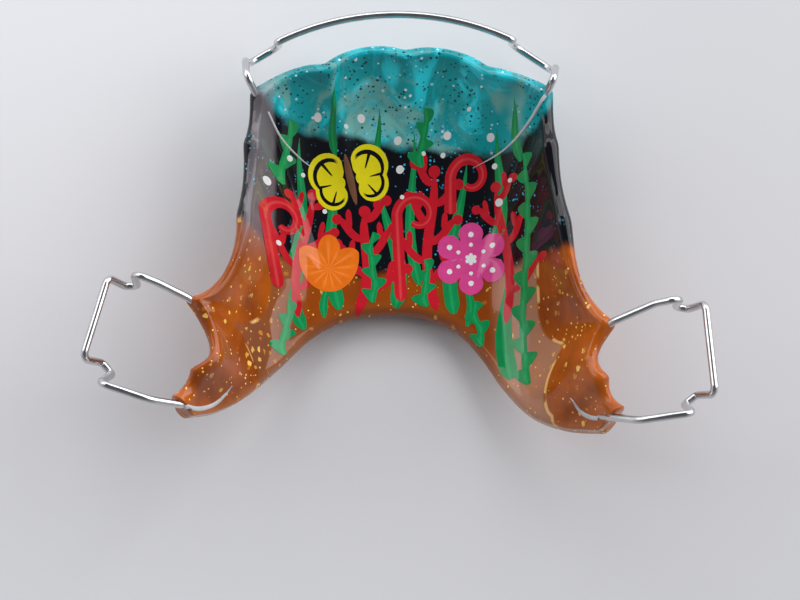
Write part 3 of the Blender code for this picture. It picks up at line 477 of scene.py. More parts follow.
def evenly_spaced(curve, shares):
    """The points that lie at the given shares of a curve's length."""
    lengths = [0.0]
    for a, b in zip(curve, curve[1:]):
        lengths.append(lengths[-1] + (b - a).length)
    found = []
    i = 0
    for share in shares:
        wanted = share * lengths[-1]
        while i < len(curve) - 2 and lengths[i + 1] < wanted:
            i += 1
        t = (wanted - lengths[i]) / (lengths[i + 1] - lengths[i])
        found.append(curve[i].lerp(curve[i + 1], min(max(t, 0.0), 1.0)))
    return found


def running_mean(values, reach):
    """The values, each averaged with its neighbours on both sides."""
    means = []
    for i in range(len(values)):
        near = values[max(i - reach, 0) : i + reach + 1]
        means.append(sum(near) / len(near))
    return means


def margin_stations():
    """Stations round the arch: the margin point in plan, the share of the rear edge behind it, and
    how near the station is to the middle of its tooth, from 0 at a contact to 1."""
    steps = sizes().steps_per_tooth
    starts = [Vector(row[0]) for row in TOOTH_MARGINS] + [Vector(MARGIN_END)]
    shares = [row[3] for row in TOOTH_MARGINS] + [1.0]
    stations = []
    for i, (_, swell, peak, _) in enumerate(TOOTH_MARGINS):
        chord = starts[i + 1] - starts[i]
        outward = Vector((-chord.y, chord.x)).normalized()
        skew = math.log(0.5) / math.log(peak)
        for step in range(steps):
            t = step / steps
            bulge = math.sin(math.pi * t**skew) ** SWELL_FULLNESS if step else 0.0
            point = starts[i] + chord * t + outward * (swell * bulge)
            share = shares[i] + (shares[i + 1] - shares[i]) * t
            stations.append((point, share, math.sin(math.pi * t)))
    stations.append((starts[-1], 1.0, 0.0))
    return stations


def distances_across(width):
    """Distances from the rear edge across the plate, each with the share of the thickness there."""
    size = sizes()
    rear = min(size.rear_nose, REAR_NOSE_SHARE * width)
    front = min(size.tooth_nose, TOOTH_NOSE_SHARE * width)
    rows = [(rear * (1 - math.cos(a)), math.sin(a)) for a in NOSE_TURNS]
    span = width - rear - front
    rows += [(rear + span * i / size.steps_across, 1.0) for i in range(size.steps_across + 1)]
    rows += [(width - front * (1 - math.cos(a)), math.sin(a)) for a in reversed(NOSE_TURNS)]
    return rows


def grid_normals(rows, reach):
    """The upward normal at each point of a grid, evened out from row to row."""
    normals = []
    for i, row in enumerate(rows):
        before, after = rows[max(i - 1, 0)], rows[min(i + 1, len(rows) - 1)]
        line = []
        for j in range(len(row)):
            along = after[j] - before[j]
            across = row[min(j + 1, len(row) - 1)] - row[max(j - 1, 0)]
            normal = across.cross(along).normalized()
            line.append(normal if normal.z > 0 else -normal)
        normals.append(line)
    evened = []
    for i in range(len(rows)):
        near = normals[max(i - reach, 0) : i + reach + 1]
        evened.append([sum(column, Vector()).normalized() for column in zip(*near)])
    return evened


def plate_rows():
    """Rows of the plate's middle, polished and tissue points, one row for each station, and how far
    each point lies from the rear edge and from the teeth."""
    size = sizes()
    stations = margin_stations()
    rear_points = evenly_spaced(spline_through(REAR_EDGE, 24), [share for _, share, _ in stations])
    widths = [(margin - rear).length for (margin, _, _), rear in zip(stations, rear_points)]
    even_widths = running_mean(widths, size.steps_per_tooth)
    vault_widths = [min(even, width * MOST_EVENING) for even, width in zip(even_widths, widths)]
    floor = size.plate_thickness / 2
    margin_height = size.vault_height - size.margin_depth
    middle, halves, reaches = [], [], []
    sections = zip(stations, rear_points, widths, vault_widths)
    for (margin, share, on_tooth), rear, width, vault_width in sections:
        climb = min(abs(rear.x) / size.rear_edge_span, MOST_CLIMB) ** 3
        low = floor + size.rear_edge_rise * climb
        high = margin_height + size.contact_rise * (1 - on_tooth)
        arm = smooth_step(*ARM_BLEND, abs(2 * share - 1))
        steepness = VAULT_STEEPNESS + (ARM_STEEPNESS - VAULT_STEEPNESS) * arm
        edge = size.contact_thickness + (size.tooth_edge_thickness - size.contact_thickness) * on_tooth
        missed = 1 - (width / vault_width) ** steepness
        row, half_row, reach_row = [], [], []
        for distance, fullness in distances_across(width):
            s = distance / width
            plan = rear.lerp(margin, s)
            rise = (distance / vault_width) ** steepness + missed * s**MARGIN_BLEND
            row.append(Vector((plan.x, plan.y, low + (high - low) * rise)))
            thickness = size.plate_thickness + (edge - size.plate_thickness) * s * s
            half_row.append(thickness / 2 * fullness)
            reach_row.append((distance, width - distance))
        middle.append(row)
        halves.append(half_row)
        reaches.append(reach_row)
    normals = grid_normals(middle, round(size.steps_per_tooth * 0.4))
    polished, tissue = [], []
    for row, normal_row, half_row in zip(middle, normals, halves):
        polished.append([p + n * h for p, n, h in zip(row, normal_row, half_row)])
        tissue.append([p - n * (h - raphe_lift(p.x, h)) for p, n, h in zip(row, normal_row, half_row)])
    return middle, polished, tissue, reaches


def raphe_lift(across, half_thickness):
    """How much of the resin's lower half the midline groove takes away."""
    size = sizes()
    share = min(half_thickness / (size.plate_thickness / 2), 1.0)
    return size.raphe_depth * share * math.exp(-((across / size.raphe_half_width) ** 2))


def rounded_tip(loop, inner_loop):
    """Further loops that round off an arm's tip, each a little smaller and further out."""
    middle = sum(loop, Vector()) / len(loop)
    outward = (middle - sum(inner_loop, Vector()) / len(inner_loop)).normalized()
    tips = []
    for i in range(1, TIP_LOOPS + 1):
        turn = math.pi / 2 * i / TIP_LOOPS
        scale = 1 - TIP_NARROWING + TIP_NARROWING * math.cos(turn)
        offset = outward * (sizes().tip_rounding * math.sin(turn))
        tips.append([middle + (p - middle) * scale + offset for p in loop])
    return tips


def surface_tree(rows):
    """A search tree over a grid of points, for dropping plan points onto it."""
    flat = [p for row in rows for p in row]
    across = len(rows[0])
    quads = []
    for i in range(len(rows) - 1):
        for j in range(across - 1):
            a, b = i * across + j, (i + 1) * across + j
            quads.append((a, a + 1, b + 1, b))
    return BVHTree.FromPolygons(flat, quads)


# The cast plate's polished rows, and search trees over its middle and its polished side
CAST = {}


def cast(surface):
    """One of the cast plate's surfaces, which the wires and the paint need."""
    if surface not in CAST:
        raise RuntimeError("The plate has to be cast before the wires and the paint")
    return CAST[surface]


def drop(surface, x, y):
    """The point and the upward normal of a cast surface over a plan point, or at its closest edge."""
    tree = cast(surface)
    place, normal, _, _ = tree.ray_cast(Vector((x, y, DROP_HEIGHT)), Vector((0, 0, -1)))
    if place is None:
        edge_height = sizes().vault_height - sizes().margin_depth
        place, normal, _, _ = tree.find_nearest(Vector((x, y, edge_height)))
        place = Vector((x, y, place.z))
    return place, normal if normal.z > 0 else -normal


# Modelling steps that several pieces share


def add_piece(name, primitive, **settings):
    """A new piece by itself, from one of Blender's own shapes, and named."""
    if bpy.context.object and bpy.context.object.mode != "OBJECT":
        bpy.ops.object.mode_set(mode="OBJECT")
    bpy.ops.object.select_all(action="DESELECT")
    primitive(**settings)
    piece = bpy.context.object
    piece.name = name
    return piece


def in_edit_mode(*steps):
    """Runs edit-mode steps on the whole of the active piece."""
    bpy.ops.object.mode_set(mode="EDIT")
    bpy.ops.mesh.select_all(action="SELECT")
    for step in steps:
        step()
    bpy.ops.object.mode_set(mode="OBJECT")


def thicken_down():
    bpy.ops.mesh.extrude_region_move(TRANSFORM_OT_translate={"value": (0, 0, -1)})


def close_seams():
    bpy.ops.mesh.remove_doubles(threshold=2e-6)
    bpy.ops.mesh.dissolve_degenerate(threshold=1e-7)


def face_outwards():
    bpy.ops.mesh.normals_make_consistent(inside=False)


def smooth_plate():
    """Subdivides the active piece once for good and shades it smooth."""
    modifier = bpy.context.object.modifiers.new("Smooth", "SUBSURF")
    modifier.levels = 1
    modifier.render_levels = 1
    bpy.ops.object.modifier_apply(modifier=modifier.name)
    bpy.ops.object.shade_smooth()


def seat():
    """From the retainer's own frame, on its biting plane, to how it lies on the table."""
    return Matrix.Translation(REST_PLACE) @ Matrix.Rotation(REST_LEAN, 4, "X")


def finish_piece(piece, material, *nodes, slot):
    """Lays a piece on the table with the rest and lets it stand for its solids."""
    piece.data.transform(seat())
    piece.data.materials.clear()
    piece.data.materials.append(material)
    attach(piece, "root")
    if nodes:
        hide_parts(*nodes)


def joined(pieces, name):
    """Several strokes of one paint as a single piece."""
    bpy.ops.object.select_all(action="DESELECT")
    for piece in pieces:
        piece.select_set(True)
    bpy.context.view_layer.objects.active = pieces[0]
    bpy.ops.object.join()
    pieces[0].name = name
    return pieces[0]


def sheet_of_quads(name, columns, rows):
    """A grid with the given numbers of points, thickened into a closed sheet, and each of its points'
    column, row and side. The points are still to be placed."""
    grid = {"x_subdivisions": columns - 1, "y_subdivisions": rows - 1, "size": 1.0}
    piece = add_piece(name, bpy.ops.mesh.primitive_grid_add, **grid)
    piece.data.name = name
    in_edit_mode(thicken_down)
    spots = []
    for vertex in piece.data.vertices:
        column = round((vertex.co.x + 0.5) * (columns - 1))
        row = round((vertex.co.y + 0.5) * (rows - 1))
        spots.append((column, row, vertex.co.z > -0.5))
    return piece, spots


def sheet_of_rings(name, spokes, rings):
    """A disc with the given numbers of spokes and rings, thickened into a closed sheet, and each of
    its points' direction, share of the radius and side. The points are still to be placed."""
    disc = {"vertices": spokes, "radius": 1.0, "fill_type": "NGON"}
    piece = add_piece(name, bpy.ops.mesh.primitive_circle_add, **disc)
    piece.data.name = name
    inset = 0.96 * math.cos(math.pi / spokes) / rings

    def draw_rings():
        for _ in range(rings - 1):
            bpy.ops.mesh.inset(thickness=inset, depth=0.0)
        bpy.ops.mesh.poke()
        bpy.ops.mesh.select_all(action="SELECT")

    in_edit_mode(draw_rings, thicken_down)
    spots = []
    for vertex in piece.data.vertices:
        direction = math.atan2(vertex.co.y, vertex.co.x)
        spots.append((direction, math.hypot(vertex.co.x, vertex.co.y), vertex.co.z > -0.5))
    return piece, spots


def mark_points(piece, **marks):
    """Gives each point of a piece the numbers that its material reads."""
    for name, values in marks.items():
        layer = piece.data.attributes.new(name, "FLOAT", "POINT")
        layer.data.foreach_set("value", values)


def layer_height(kind, steps=0.0):
    return sizes().paint_lift * (LAYERS[kind] + steps)


def lay_paint(piece, places, spots, lift, along, across, dome=0.0):
    """Drops a flat painted shape onto the resin and finishes it as one closed film."""
    for vertex, plan, (_, _, upper), side in zip(piece.data.vertices, places, spots, across):
        point, normal = drop("polished_tree", plan.x, plan.y)
        rise = dome * math.sqrt(max(0.0, 1.0 - side * side))
        vertex.co = point + normal * (lift + rise if upper else lift - PAINT_FILM)
    mark_points(piece, along=along, across=across)
    in_edit_mode(close_seams, face_outwards)
    bpy.ops.object.shade_smooth_by_angle(angle=SHARP_EDGE)
    return piece


def painted_stroke(name, line, left, right, lift, sweep=0.0, dome=0.0):
    """A painted strip along a plan line with a width on each side, whose sides lean forward by sweep
    times their width, and whose middle stands up by dome."""
    rows = 6
    piece, spots = sheet_of_quads(name, len(line), rows + 1)
    places, along, across = [], [], []
    for column, row, _ in spots:
        ahead = (line[min(column + 1, len(line) - 1)] - line[max(column - 1, 0)]).normalized()
        side = Vector((-ahead.y, ahead.x))
        share = 2 * row / rows - 1
        reach = (left[column] if share > 0 else right[column]) * abs(share)
        places.append(line[column] + side * math.copysign(reach, share) + ahead * (reach * sweep))
        along.append(column / (len(line) - 1))
        across.append(share)
    return lay_paint(piece, places, spots, lift, along, across, dome)


def painted_round(name, centre, radius_at, spokes, rings, lift, shape=None):
    """A painted shape that is star-like about its centre."""
    piece, spots = sheet_of_rings(name, spokes, rings)
    places, along, across = [], [], []
    for direction, share, _ in spots:
        reach = radius_at(direction) * share
        plan = Vector(centre) + Vector((math.cos(direction), math.sin(direction))) * reach
        places.append(shape(plan) if shape else plan)
        along.append(share)
        across.append(direction / math.pi)
    return lay_paint(piece, places, spots, lift, along, across)


def painted_dot(name, centre, radius, spokes, rings, kind):
    return painted_round(name, centre, lambda _: radius, spokes, rings, layer_height(kind))


# Wires


def arc_at(before, corner, after, radius):
    """The points of a round bend of the given radius at a corner."""
    back, ahead = before - corner, after - corner
    turn = math.pi - back.angle(ahead)
    if turn < STRAIGHT_ENOUGH:
        return [corner.copy()]
    reach = min(radius * math.tan(turn / 2), 0.48 * min(back.length, ahead.length))
    radius = reach / math.tan(turn / 2)
    start = corner + back.normalized() * reach
    inward = (back.normalized() + ahead.normalized()).normalized()
    centre = corner + inward * (radius / math.cos(turn / 2))
    first = start - centre
    axis = back.cross(ahead).normalized()
    steps = max(1, math.ceil(turn / BEND_STEP))
    return [centre + Matrix.Rotation(-turn * i / steps, 3, axis) @ first for i in range(steps + 1)]


def bent_path(corners):
    """A wire's centre line. Each corner is a point and the radius of the bend there."""
    path = [corners[0][0]]
    for (a, _), (b, radius), (c, _) in zip(corners, corners[1:], corners[2:]):
        path += arc_at(a, b, c, radius)
    path.append(corners[-1][0])
    return path


def wire_tag(entry, places):
    """The centre line of a wire's tag in the middle of the resin, from the margin inward."""
    plan = spline_through([entry, *places], 12)
    steps = max(3, round(sum((b - a).length for a, b in zip(plan, plan[1:])) / TAG_STEP))
    even = evenly_spaced(plan, [i / steps for i in range(steps + 1)])
    tag = [Vector((p.x, p.y, drop("middle_tree", p.x, p.y)[0].z)) for p in even]
    del tag[1]
    return tag


def wire_between(first_tag, corners, last_tag):
    """A whole wire's centre line, from the end of one tag to the end of the other."""
    corners = [(first_tag[1], 0.0), *corners, (last_tag[1], 0.0)]
    return list(reversed(first_tag[2:])) + bent_path(corners) + last_tag[2:]


def bow_half(side):
    """One half of the bow: its tag, its corners round the loop, and the leg's top."""
    size = sizes()
    front, back = (Vector(p) for p in BOW_LEGS[side])
    level = size.vault_height - size.bow_depth
    crossing = Vector((*BOW_CROSSING[side], size.vault_height - size.bow_crossing_depth))
    tag = wire_tag(TOOTH_MARGINS[BOW_ENTRY_TOOTH[side]][0], BOW_TAGS[side])
    flare = Vector((0, size.bow_loop_flare, -size.bow_loop_drop))
    back_top, front_top = Vector((*back, level)), Vector((*front, level))
    corners = [
        (tag[0], size.saddle_bend_radius),
        (crossing, size.saddle_bend_radius),
        (back_top, size.wire_bend_radius * 2),
        (back_top + flare, size.bow_loop_corner_radius),
        (front_top + flare, size.bow_loop_corner_radius),
    ]
    return tag, corners, front_top


def bow_arc(left, right):
    """The bow's front stretch, one arc through its apex."""
    ab, ac = Vector(BOW_APEX) - left.xy, right.xy - left.xy
    twice = 2 * (ab.x * ac.y - ab.y * ac.x)
    x = (ac.y * ab.length_squared - ab.y * ac.length_squared) / twice
    y = (ab.x * ac.length_squared - ac.x * ab.length_squared) / twice
    centre = left.xy + Vector((x, y))
    radius = (left.xy - centre).length
    first = math.atan2(left.y - centre.y, left.x - centre.x)
    last = math.atan2(right.y - centre.y, right.x - centre.x)
    arc = []
    for i in range(BOW_STEPS + 1):
        angle = first + (last - first) * i / BOW_STEPS
        across = centre.x + radius * math.cos(angle)
        forward = centre.y + radius * math.sin(angle)
        arc.append(Vector((across, forward, left.z)))
    return arc


def bow_path():
    size = sizes()
    left_tag, left, left_top = bow_half(-1)
    right_tag, right, right_top = bow_half(1)
    corners = left + [(left_top, size.wire_bend_radius)]
    corners += [(p, size.saddle_bend_radius) for p in bow_arc(left_top, right_top)[2:-2]]
    corners += [(right_top, size.wire_bend_radius), *reversed(right)]
    return wire_between(left_tag, corners, right_tag)


def clasp_end(side, end, entry, tag_places):
    """One end of a clasp, mesial (1) or distal (-1): its tag and its corners up to the bridge."""
    size = sizes()
    flare = CLASP_FLARE[side]
    forward = Vector((-side * math.sin(flare), math.cos(flare)))
    outward = Vector((side * math.cos(flare), math.sin(flare)))

    def at(inset, along, depth):
        plan = Vector(CLASP_BRIDGE_MIDDLE[side]) - outward * inset + forward * along
        return Vector((plan.x, plan.y, size.vault_height - depth))

    bridge_end = end * CLASP_BRIDGE_LENGTH[side] / 2
    arm = MESIAL_ARM_FORWARD[side] if end == 1 else -DISTAL_ARM_BACK[side]
    saddles = MESIAL_SADDLES if end == 1 else DISTAL_SADDLES
    outer_head, inner_head = MESIAL_ARROWHEAD if end == 1 else DISTAL_ARROWHEAD
    over = [at(inset, arm, depth) for inset, depth in reversed(saddles)]
    tag = wire_tag(entry, tag_places)
    grip = size.arrowhead_depth
    corners = [(p, size.saddle_bend_radius) for p in [tag[0]] + over]
    corners += [
        (at(size.clasp_arm_inset, arm, size.clasp_crossing_depth), size.wire_bend_radius),
        (at(inner_head[0], bridge_end + inner_head[1], grip), size.arrowhead_bend_radius),
        (at(outer_head[0], bridge_end + outer_head[1], grip), size.arrowhead_bend_radius),
        (at(0.0, bridge_end, size.clasp_bridge_depth), size.wire_bend_radius),
    ]
    return tag, corners


def clasp_path(side):
    """A clasp's centre line, from its mesial tag to its distal one."""
    tip = cast("polished")[0 if side == -1 else -1]
    mesial_entry = TOOTH_MARGINS[CLASP_ENTRY_TOOTH[side]][0]
    distal_entry = tip[0].xy.lerp(tip[-1].xy, 0.5)
    first_tag, mesial = clasp_end(side, 1, mesial_entry, MESIAL_TAGS[side])
    last_tag, distal = clasp_end(side, -1, distal_entry, DISTAL_TAGS[side])
    return wire_between(first_tag, mesial + list(reversed(distal)), last_tag)


def bend_wire(name, path):
    """A round wire along a centre line, drawn as a path curve and made a mesh."""
    curve = add_piece(name, bpy.ops.curve.primitive_nurbs_path_add, radius=1.0).data
    curve.splines.clear()
    spline = curve.splines.new("POLY")
    spline.points.add(len(path) - 1)
    for place, point in zip(spline.points, path):
        place.co = (*point, 1.0)
    curve.bevel_depth = sizes().wire_diameter / 2
    curve.bevel_resolution = 6
    curve.use_fill_caps = True
    bpy.ops.object.convert(target="MESH")
    in_edit_mode(lambda: bpy.ops.mesh.remove_doubles(threshold=1e-6), face_outwards)
    bpy.ops.object.shade_smooth_by_angle(angle=SHARP_EDGE)
    return bpy.context.object


# The painted garden's outlines


def heading(foot, tip):
    """The direction from a stroke's foot to its tip, and the one to its left."""
    ahead = (tip - foot).normalized()
    return ahead, Vector((-ahead.y, ahead.x))


def frond_stroke(foot, tip, sway, leaflets):
    """A swaying stem with leaflets in turn on its two sides: its line and both widths."""
    size = sizes()
    foot, tip = Vector(foot), Vector(tip)
    _, side = heading(foot, tip)
    steps = 20 * leaflets
    line, left, right = [], [], []
    for i in range(steps + 1):
        s = i / steps
        line.append(foot.lerp(tip, s) + side * (sway * math.sin(2 * math.pi * s)))
        stem = size.stem_half_width * (1 - 0.8 * s**4)
        leaflet = size.leaflet_length * (1 - 0.35 * s)
        wave = math.sin(2 * math.pi * leaflets * s)
        left.append(stem + leaflet * max(wave, 0.0))
        right.append(stem + leaflet * max(-wave, 0.0))
    return line, left, right


def scroll_stroke(centre, foot, radius):
    """A stalk that ends in a spiral curl: its line and widths."""
    centre, foot = Vector(centre), Vector(foot)
    curl_steps, stalk_steps = 64, 20
    curl = []
    for i in range(curl_steps + 1):
        share = i / curl_steps
        angle = math.pi - 2 * math.pi * SCROLL_TURNS * share
        reach = radius * (1 - CURL_TIGHTENING * share)
        curl.append(centre + Vector((math.cos(angle), math.sin(angle))) * reach)
    line = [foot.lerp(curl[0], i / stalk_steps) for i in range(stalk_steps)] + curl
    last = len(line) - 1
    widths = []
    for i in range(len(line)):
        end = min(i, last - i) / 2
        rounding = math.sqrt(1 - (1 - end) ** 2) if end < 1 else 1.0
        widths.append(sizes().scroll_half_width * (1.25 - 0.6 * i / last) * max(rounding, 0.1))
    return line, widths


def leaning_stroke(foot, tip, bow, half_width, fullness):
    """A single stroke that bows sideways and ends round or pointed: its line and widths."""
    foot, tip = Vector(foot), Vector(tip)
    _, side = heading(foot, tip)
    steps = max(12, round((tip - foot).length / STROKE_STEP))
    line, widths = [], []
    for i in range(steps + 1):
        s = i / steps
        line.append(foot.lerp(tip, s) + side * (bow * math.sin(math.pi * 1.5 * s)))
        foot_rounding = min(1.0, 0.35 + s * steps / 4)
        widths.append(half_width * foot_rounding * max(1 - s**fullness, 0.04))
    return line, widths


def sprig_strokes(foot, tip, bow, half_width, shoots, reach):
    """A berry sprig's strokes and its berries: a stem, shoots in turn on both sides, and a berry at
    each shoot's end."""
    line, _ = leaning_stroke(foot, tip, bow, half_width, STEM_FULLNESS)
    strokes = [(foot, tip, bow, half_width)]
    berries = [(line[-1], half_width * TIP_BERRY)]
    for i in range(shoots):
        share = FIRST_SHOOT + SHOOT_SPREAD * i / (shoots - 1)
        at = round(share * (len(line) - 1))
        ahead, _ = heading(line[at - 1], line[at + 1])
        turn = 1 if i % 2 else -1
        out = Matrix.Rotation(turn * SHOOT_TURN, 2) @ ahead
        end = line[at] + out * (reach * (1 - 0.5 * share))
        strokes.append((line[at], end, turn * SHOOT_BOW, half_width * SHOOT_WIDTH))
        berries.append((end, half_width * SHOOT_BERRY))
        fork = line[at].lerp(end, FORK_PLACE)
        side_way = Matrix.Rotation(-turn * FORK_TURN, 2) @ out
        fork_end = fork + side_way * (reach * FORK_REACH)
        strokes.append((fork, fork_end, 0.0, half_width * FORK_WIDTH))
    return strokes, berries


def flower_radius(direction):
    petal = abs(math.sin(FLOWER_PETALS * direction / 2)) ** 0.5
    return sizes().flower_radius * (1 - 0.42 * (1 - petal))


def tulip_radius(direction):
    """A round cup below and three points above, one upright and one leaning each way."""
    radius = sizes().tulip_radius
    lean = abs(math.remainder(direction - math.pi / 2, 2 * math.pi))
    if lean < TULIP_POINT_LEAN:
        return radius * (0.95 + 0.5 * abs(math.cos(math.pi * lean / TULIP_POINT_LEAN)))
    fall = (lean - TULIP_POINT_LEAN) / (math.pi - TULIP_POINT_LEAN)
    return radius * (1.0 + 0.45 * (1 - fall) ** 3)


def wing_radius(direction):
    fore = max(0.0, math.cos(direction - math.radians(48))) ** 0.8
    hind = 0.8 * max(0.0, math.cos(direction + math.radians(42))) ** 0.8
    return sizes().butterfly_wing * (0.16 + 0.62 * max(fore, hind))


# Materials


class Finish:
    """The nodes of one material, node group or world, with short names for the steps that repeat."""

    def __init__(self, tree):
        self.tree = tree

    def feed(self, source, target):
        """Links a socket, or sets a plain value or colour."""
        if isinstance(source, bpy.types.NodeSocket):
            self.tree.links.new(source, target)
        else:
            target.default_value = (*source, 1.0) if target.type == "RGBA" else source

    def fill(self, node, sources):
        for name, source in sources.items():
            self.feed(source, node.inputs[name])

    def node(self, kind, sources=None, **settings):
        """A new node with its settings, and with what feeds its inputs."""
        node = self.tree.nodes.new("ShaderNode" + kind)
        for name, value in settings.items():
            setattr(node, name, value)
        self.fill(node, sources or {})
        return node

    def calculate(self, operation, *values):
        return self.node("Math", dict(enumerate(values)), operation=operation).outputs[0]

    def product(self, first, *others):
        for other in others:
            first = self.calculate("MULTIPLY", first, other)
        return first

    def total(self, first, *others):
        for other in others:
            first = self.calculate("ADD", first, other)
        return first

    def less(self, value, part):
        return self.calculate("SUBTRACT", value, part)

    def ramp(self, value, low, high, smooth=True):
        """From 0 at low to 1 at high."""
        ends = {"Value": value, "From Min": low, "From Max": high}
        kind = "SMOOTHSTEP" if smooth else "LINEAR"
        return self.node("MapRange", ends, interpolation_type=kind).outputs["Result"]

    def fade(self, value, low, high):
        """From 1 at low to 0 at high."""
        return self.less(1.0, self.ramp(value, low, high))

    def mix(self, share, first, second):
        sources = {"Factor": share, "A": first, "B": second}
        return self.node("Mix", sources, data_type="RGBA").outputs["Result"]

    def glaze(self, tint, over, *shares):
        """A colour laid over the tint, as strongly as the shares' product."""
        return self.mix(self.product(*shares), tint, over)

    def noise(self, place, scale, detail=2.0, roughness=0.5, distortion=0.0):
        grain = {"Vector": place, "Scale": scale, "Detail": detail}
        grain |= {"Roughness": roughness, "Distortion": distortion}
        return self.node("TexNoise", grain).outputs["Fac"]

    def patches(self, place, kind):
        """Patches of noise, from 0 between them to 1 inside."""
        scale, start, full, *grain = PATCHES[kind]
        return self.ramp(self.noise(place, scale, *grain), start, full)

    def place(self):
        return self.node("TexCoord").outputs["Object"]

    def axes(self, place):
        return self.node("SeparateXYZ", {"Vector": place}).outputs

    def mark(self, name):
        """A number that the points of a piece carry."""
        return self.node("Attribute", attribute_name=name).outputs["Fac"]


def new_material(name):
    """A material, the finish that makes its nodes, and its shader."""
    material = bpy.data.materials.new(name)
    material.use_nodes = True
    return material, Finish(material.node_tree), material.node_tree.nodes["Principled BSDF"]


def shared_group(name, inputs, outputs, build):
    """A node group that several materials use, built once. inputs are its sockets and their defaults,
    with None for a vector, and outputs are its sockets and their kinds."""
    if name in bpy.data.node_groups:
        return bpy.data.node_groups[name]
    group = bpy.data.node_groups.new(name, "ShaderNodeTree")
    for label, value in inputs.items():
        kind = "NodeSocketVector" if value is None else "NodeSocketFloat"
        socket = group.interface.new_socket(name=label, in_out="INPUT", socket_type=kind)
        if value is not None:
            socket.default_value = value
    for label, kind in outputs.items():
        group.interface.new_socket(name=label, in_out="OUTPUT", socket_type=kind)
    entry, out = group.nodes.new("NodeGroupInput"), group.nodes.new("NodeGroupOutput")
    finish = Finish(group)
    finish.fill(out, build(finish, entry.outputs))
    return group


def build_glitter(finish, entry):
    """Flakes with ragged edges, at most one in each cell of the resin."""
    per_metre = finish.calculate("DIVIDE", 1.0, entry["Spacing"])
    scaled = {"Vector": entry["Place"], "Scale": per_metre}
    spread = finish.node("VectorMath", scaled, operation="SCALE").outputs["Vector"]
    wobble = finish.node("TexNoise", {"Vector": spread, "Scale": 2.2}).outputs["Color"]
    scaled = {"Vector": wobble, "Scale": entry["Raggedness"]}
    shift = finish.node("VectorMath", scaled, operation="SCALE").outputs["Vector"]
    moved = finish.node("VectorMath", {0: spread, 1: shift}, operation="ADD").outputs["Vector"]
    cells = finish.node("TexVoronoi", {"Vector": moved, "Scale": 1.0}).outputs
    lots = finish.node("SeparateColor", {"Color": cells["Color"]}).outputs
    reach = finish.product(finish.calculate("MULTIPLY_ADD", lots["Green"], 0.9, 0.55), entry["Size"])
    inside = finish.calculate("LESS_THAN", cells["Distance"], reach)
    chosen = finish.calculate("LESS_THAN", lots["Red"], entry["Share"])
    return {"Mask": finish.product(inside, chosen), "Brightness": lots["Blue"]}


def glitter(finish, place, kind):
    """Flakes scattered through the resin: where they are, and how bright each one is."""
    inputs = {"Place": None, "Spacing": 0.0008, "Size": 0.22, "Share": 0.6, "Raggedness": 0.0}
    outputs = {"Mask": "NodeSocketFloat", "Brightness": "NodeSocketFloat"}
    group = shared_group("Glitter", inputs, outputs, build_glitter)
    node = finish.node("Group", node_tree=group)
    finish.fill(node, dict(zip(inputs, (place, *GLITTER[kind]))))
    return node.outputs["Mask"], node.outputs["Brightness"]


def build_hand_polish(finish, entry):
    waves = finish.noise(entry["Place"], 190.0, 1.0)
    bump = {"Strength": 1.0, "Distance": entry["Height"], "Height": waves}
    return {"Normal": finish.node("Bump", bump).outputs["Normal"]}


def hand_polish(finish, place, height):
    """The slow waves that hand polishing leaves in a glossy surface."""
    inputs = {"Place": None, "Height": 0.00006}
    group = shared_group("Hand polish", inputs, {"Normal": "NodeSocketVector"}, build_hand_polish)
    node = finish.node("Group", node_tree=group)
    finish.fill(node, {"Place": place, "Height": height})
    return node.outputs["Normal"]


def polish(finish, shader, tint, place):
    """The clear hand-polished gloss over a colour, which resin and paint share."""
    gloss = {
        "Base Color": tint,
        "Normal": hand_polish(finish, place, 0.00005),
        "Roughness": 0.07,
        "Specular IOR Level": 0.36,
        "Sheen Weight": 0.10,
        "Sheen Roughness": 0.5,
    }
    finish.fill(shader, gloss)


def polished_side(finish):
    """From 0 on the tissue side to 1 on the polished side."""
    return finish.ramp(finish.mark("polished_share"), 0.3, 0.8)


def teal_resin_colour(finish, place):
    """Cloudy teal with pale swirls, pale clouds and wavy lines that are partly painted reflection,
    clustered dark specks and bright glitter.
    """
    colour = colours()
    swirl = finish.patches(place, "teal_swirls")
    cloud = finish.patches(place, "teal_clouds")
    tint = finish.glaze(colour.teal, colour.bright_teal, swirl)
    # Pale clouds and wavy lines: partly the pale cast under the clear teal, partly painted reflection.
    tint = finish.glaze(tint, colour.sage, cloud, 0.45)
    off_middle = finish.less(finish.noise(place, 95.0, 3.0, 0.5, 1.2), 0.5)
    ripple = finish.fade(finish.calculate("ABSOLUTE", off_middle), 0.0, 0.06)
    tint = finish.glaze(tint, colour.sage, ripple, 0.5)
    edge = finish.fade(finish.mark("from_teeth"), 0.0002, 0.0018)
    tint = finish.glaze(tint, colour.deep_teal, edge, 0.4)
    speck, _ = glitter(finish, place, "teal_specks")
    cluster = finish.patches(place, "teal_specks")
    tint = finish.glaze(tint, colour.specks, speck, cluster, 0.9)
    spark, bright = glitter(finish, place, "teal_sparks")
    tint = finish.glaze(tint, finish.mix(bright, colour.blue_glitter, colour.chalk), spark)
    shower, _ = glitter(finish, place, "teal_shower")
    drift = finish.patches(place, "teal_shower")
    return finish.glaze(tint, colour.blue_glitter, shower, drift)


def night_resin_colour(finish, place):
    """Near black with drifts of blue sparkles."""
    spark, bright = glitter(finish, place, "night_sparks")
    bright = finish.ramp(bright, 0.0, 0.6, smooth=False)
    drift = finish.patches(place, "night_sparks")
    return finish.glaze(colours().night, colours().blue_glitter, spark, bright, drift)


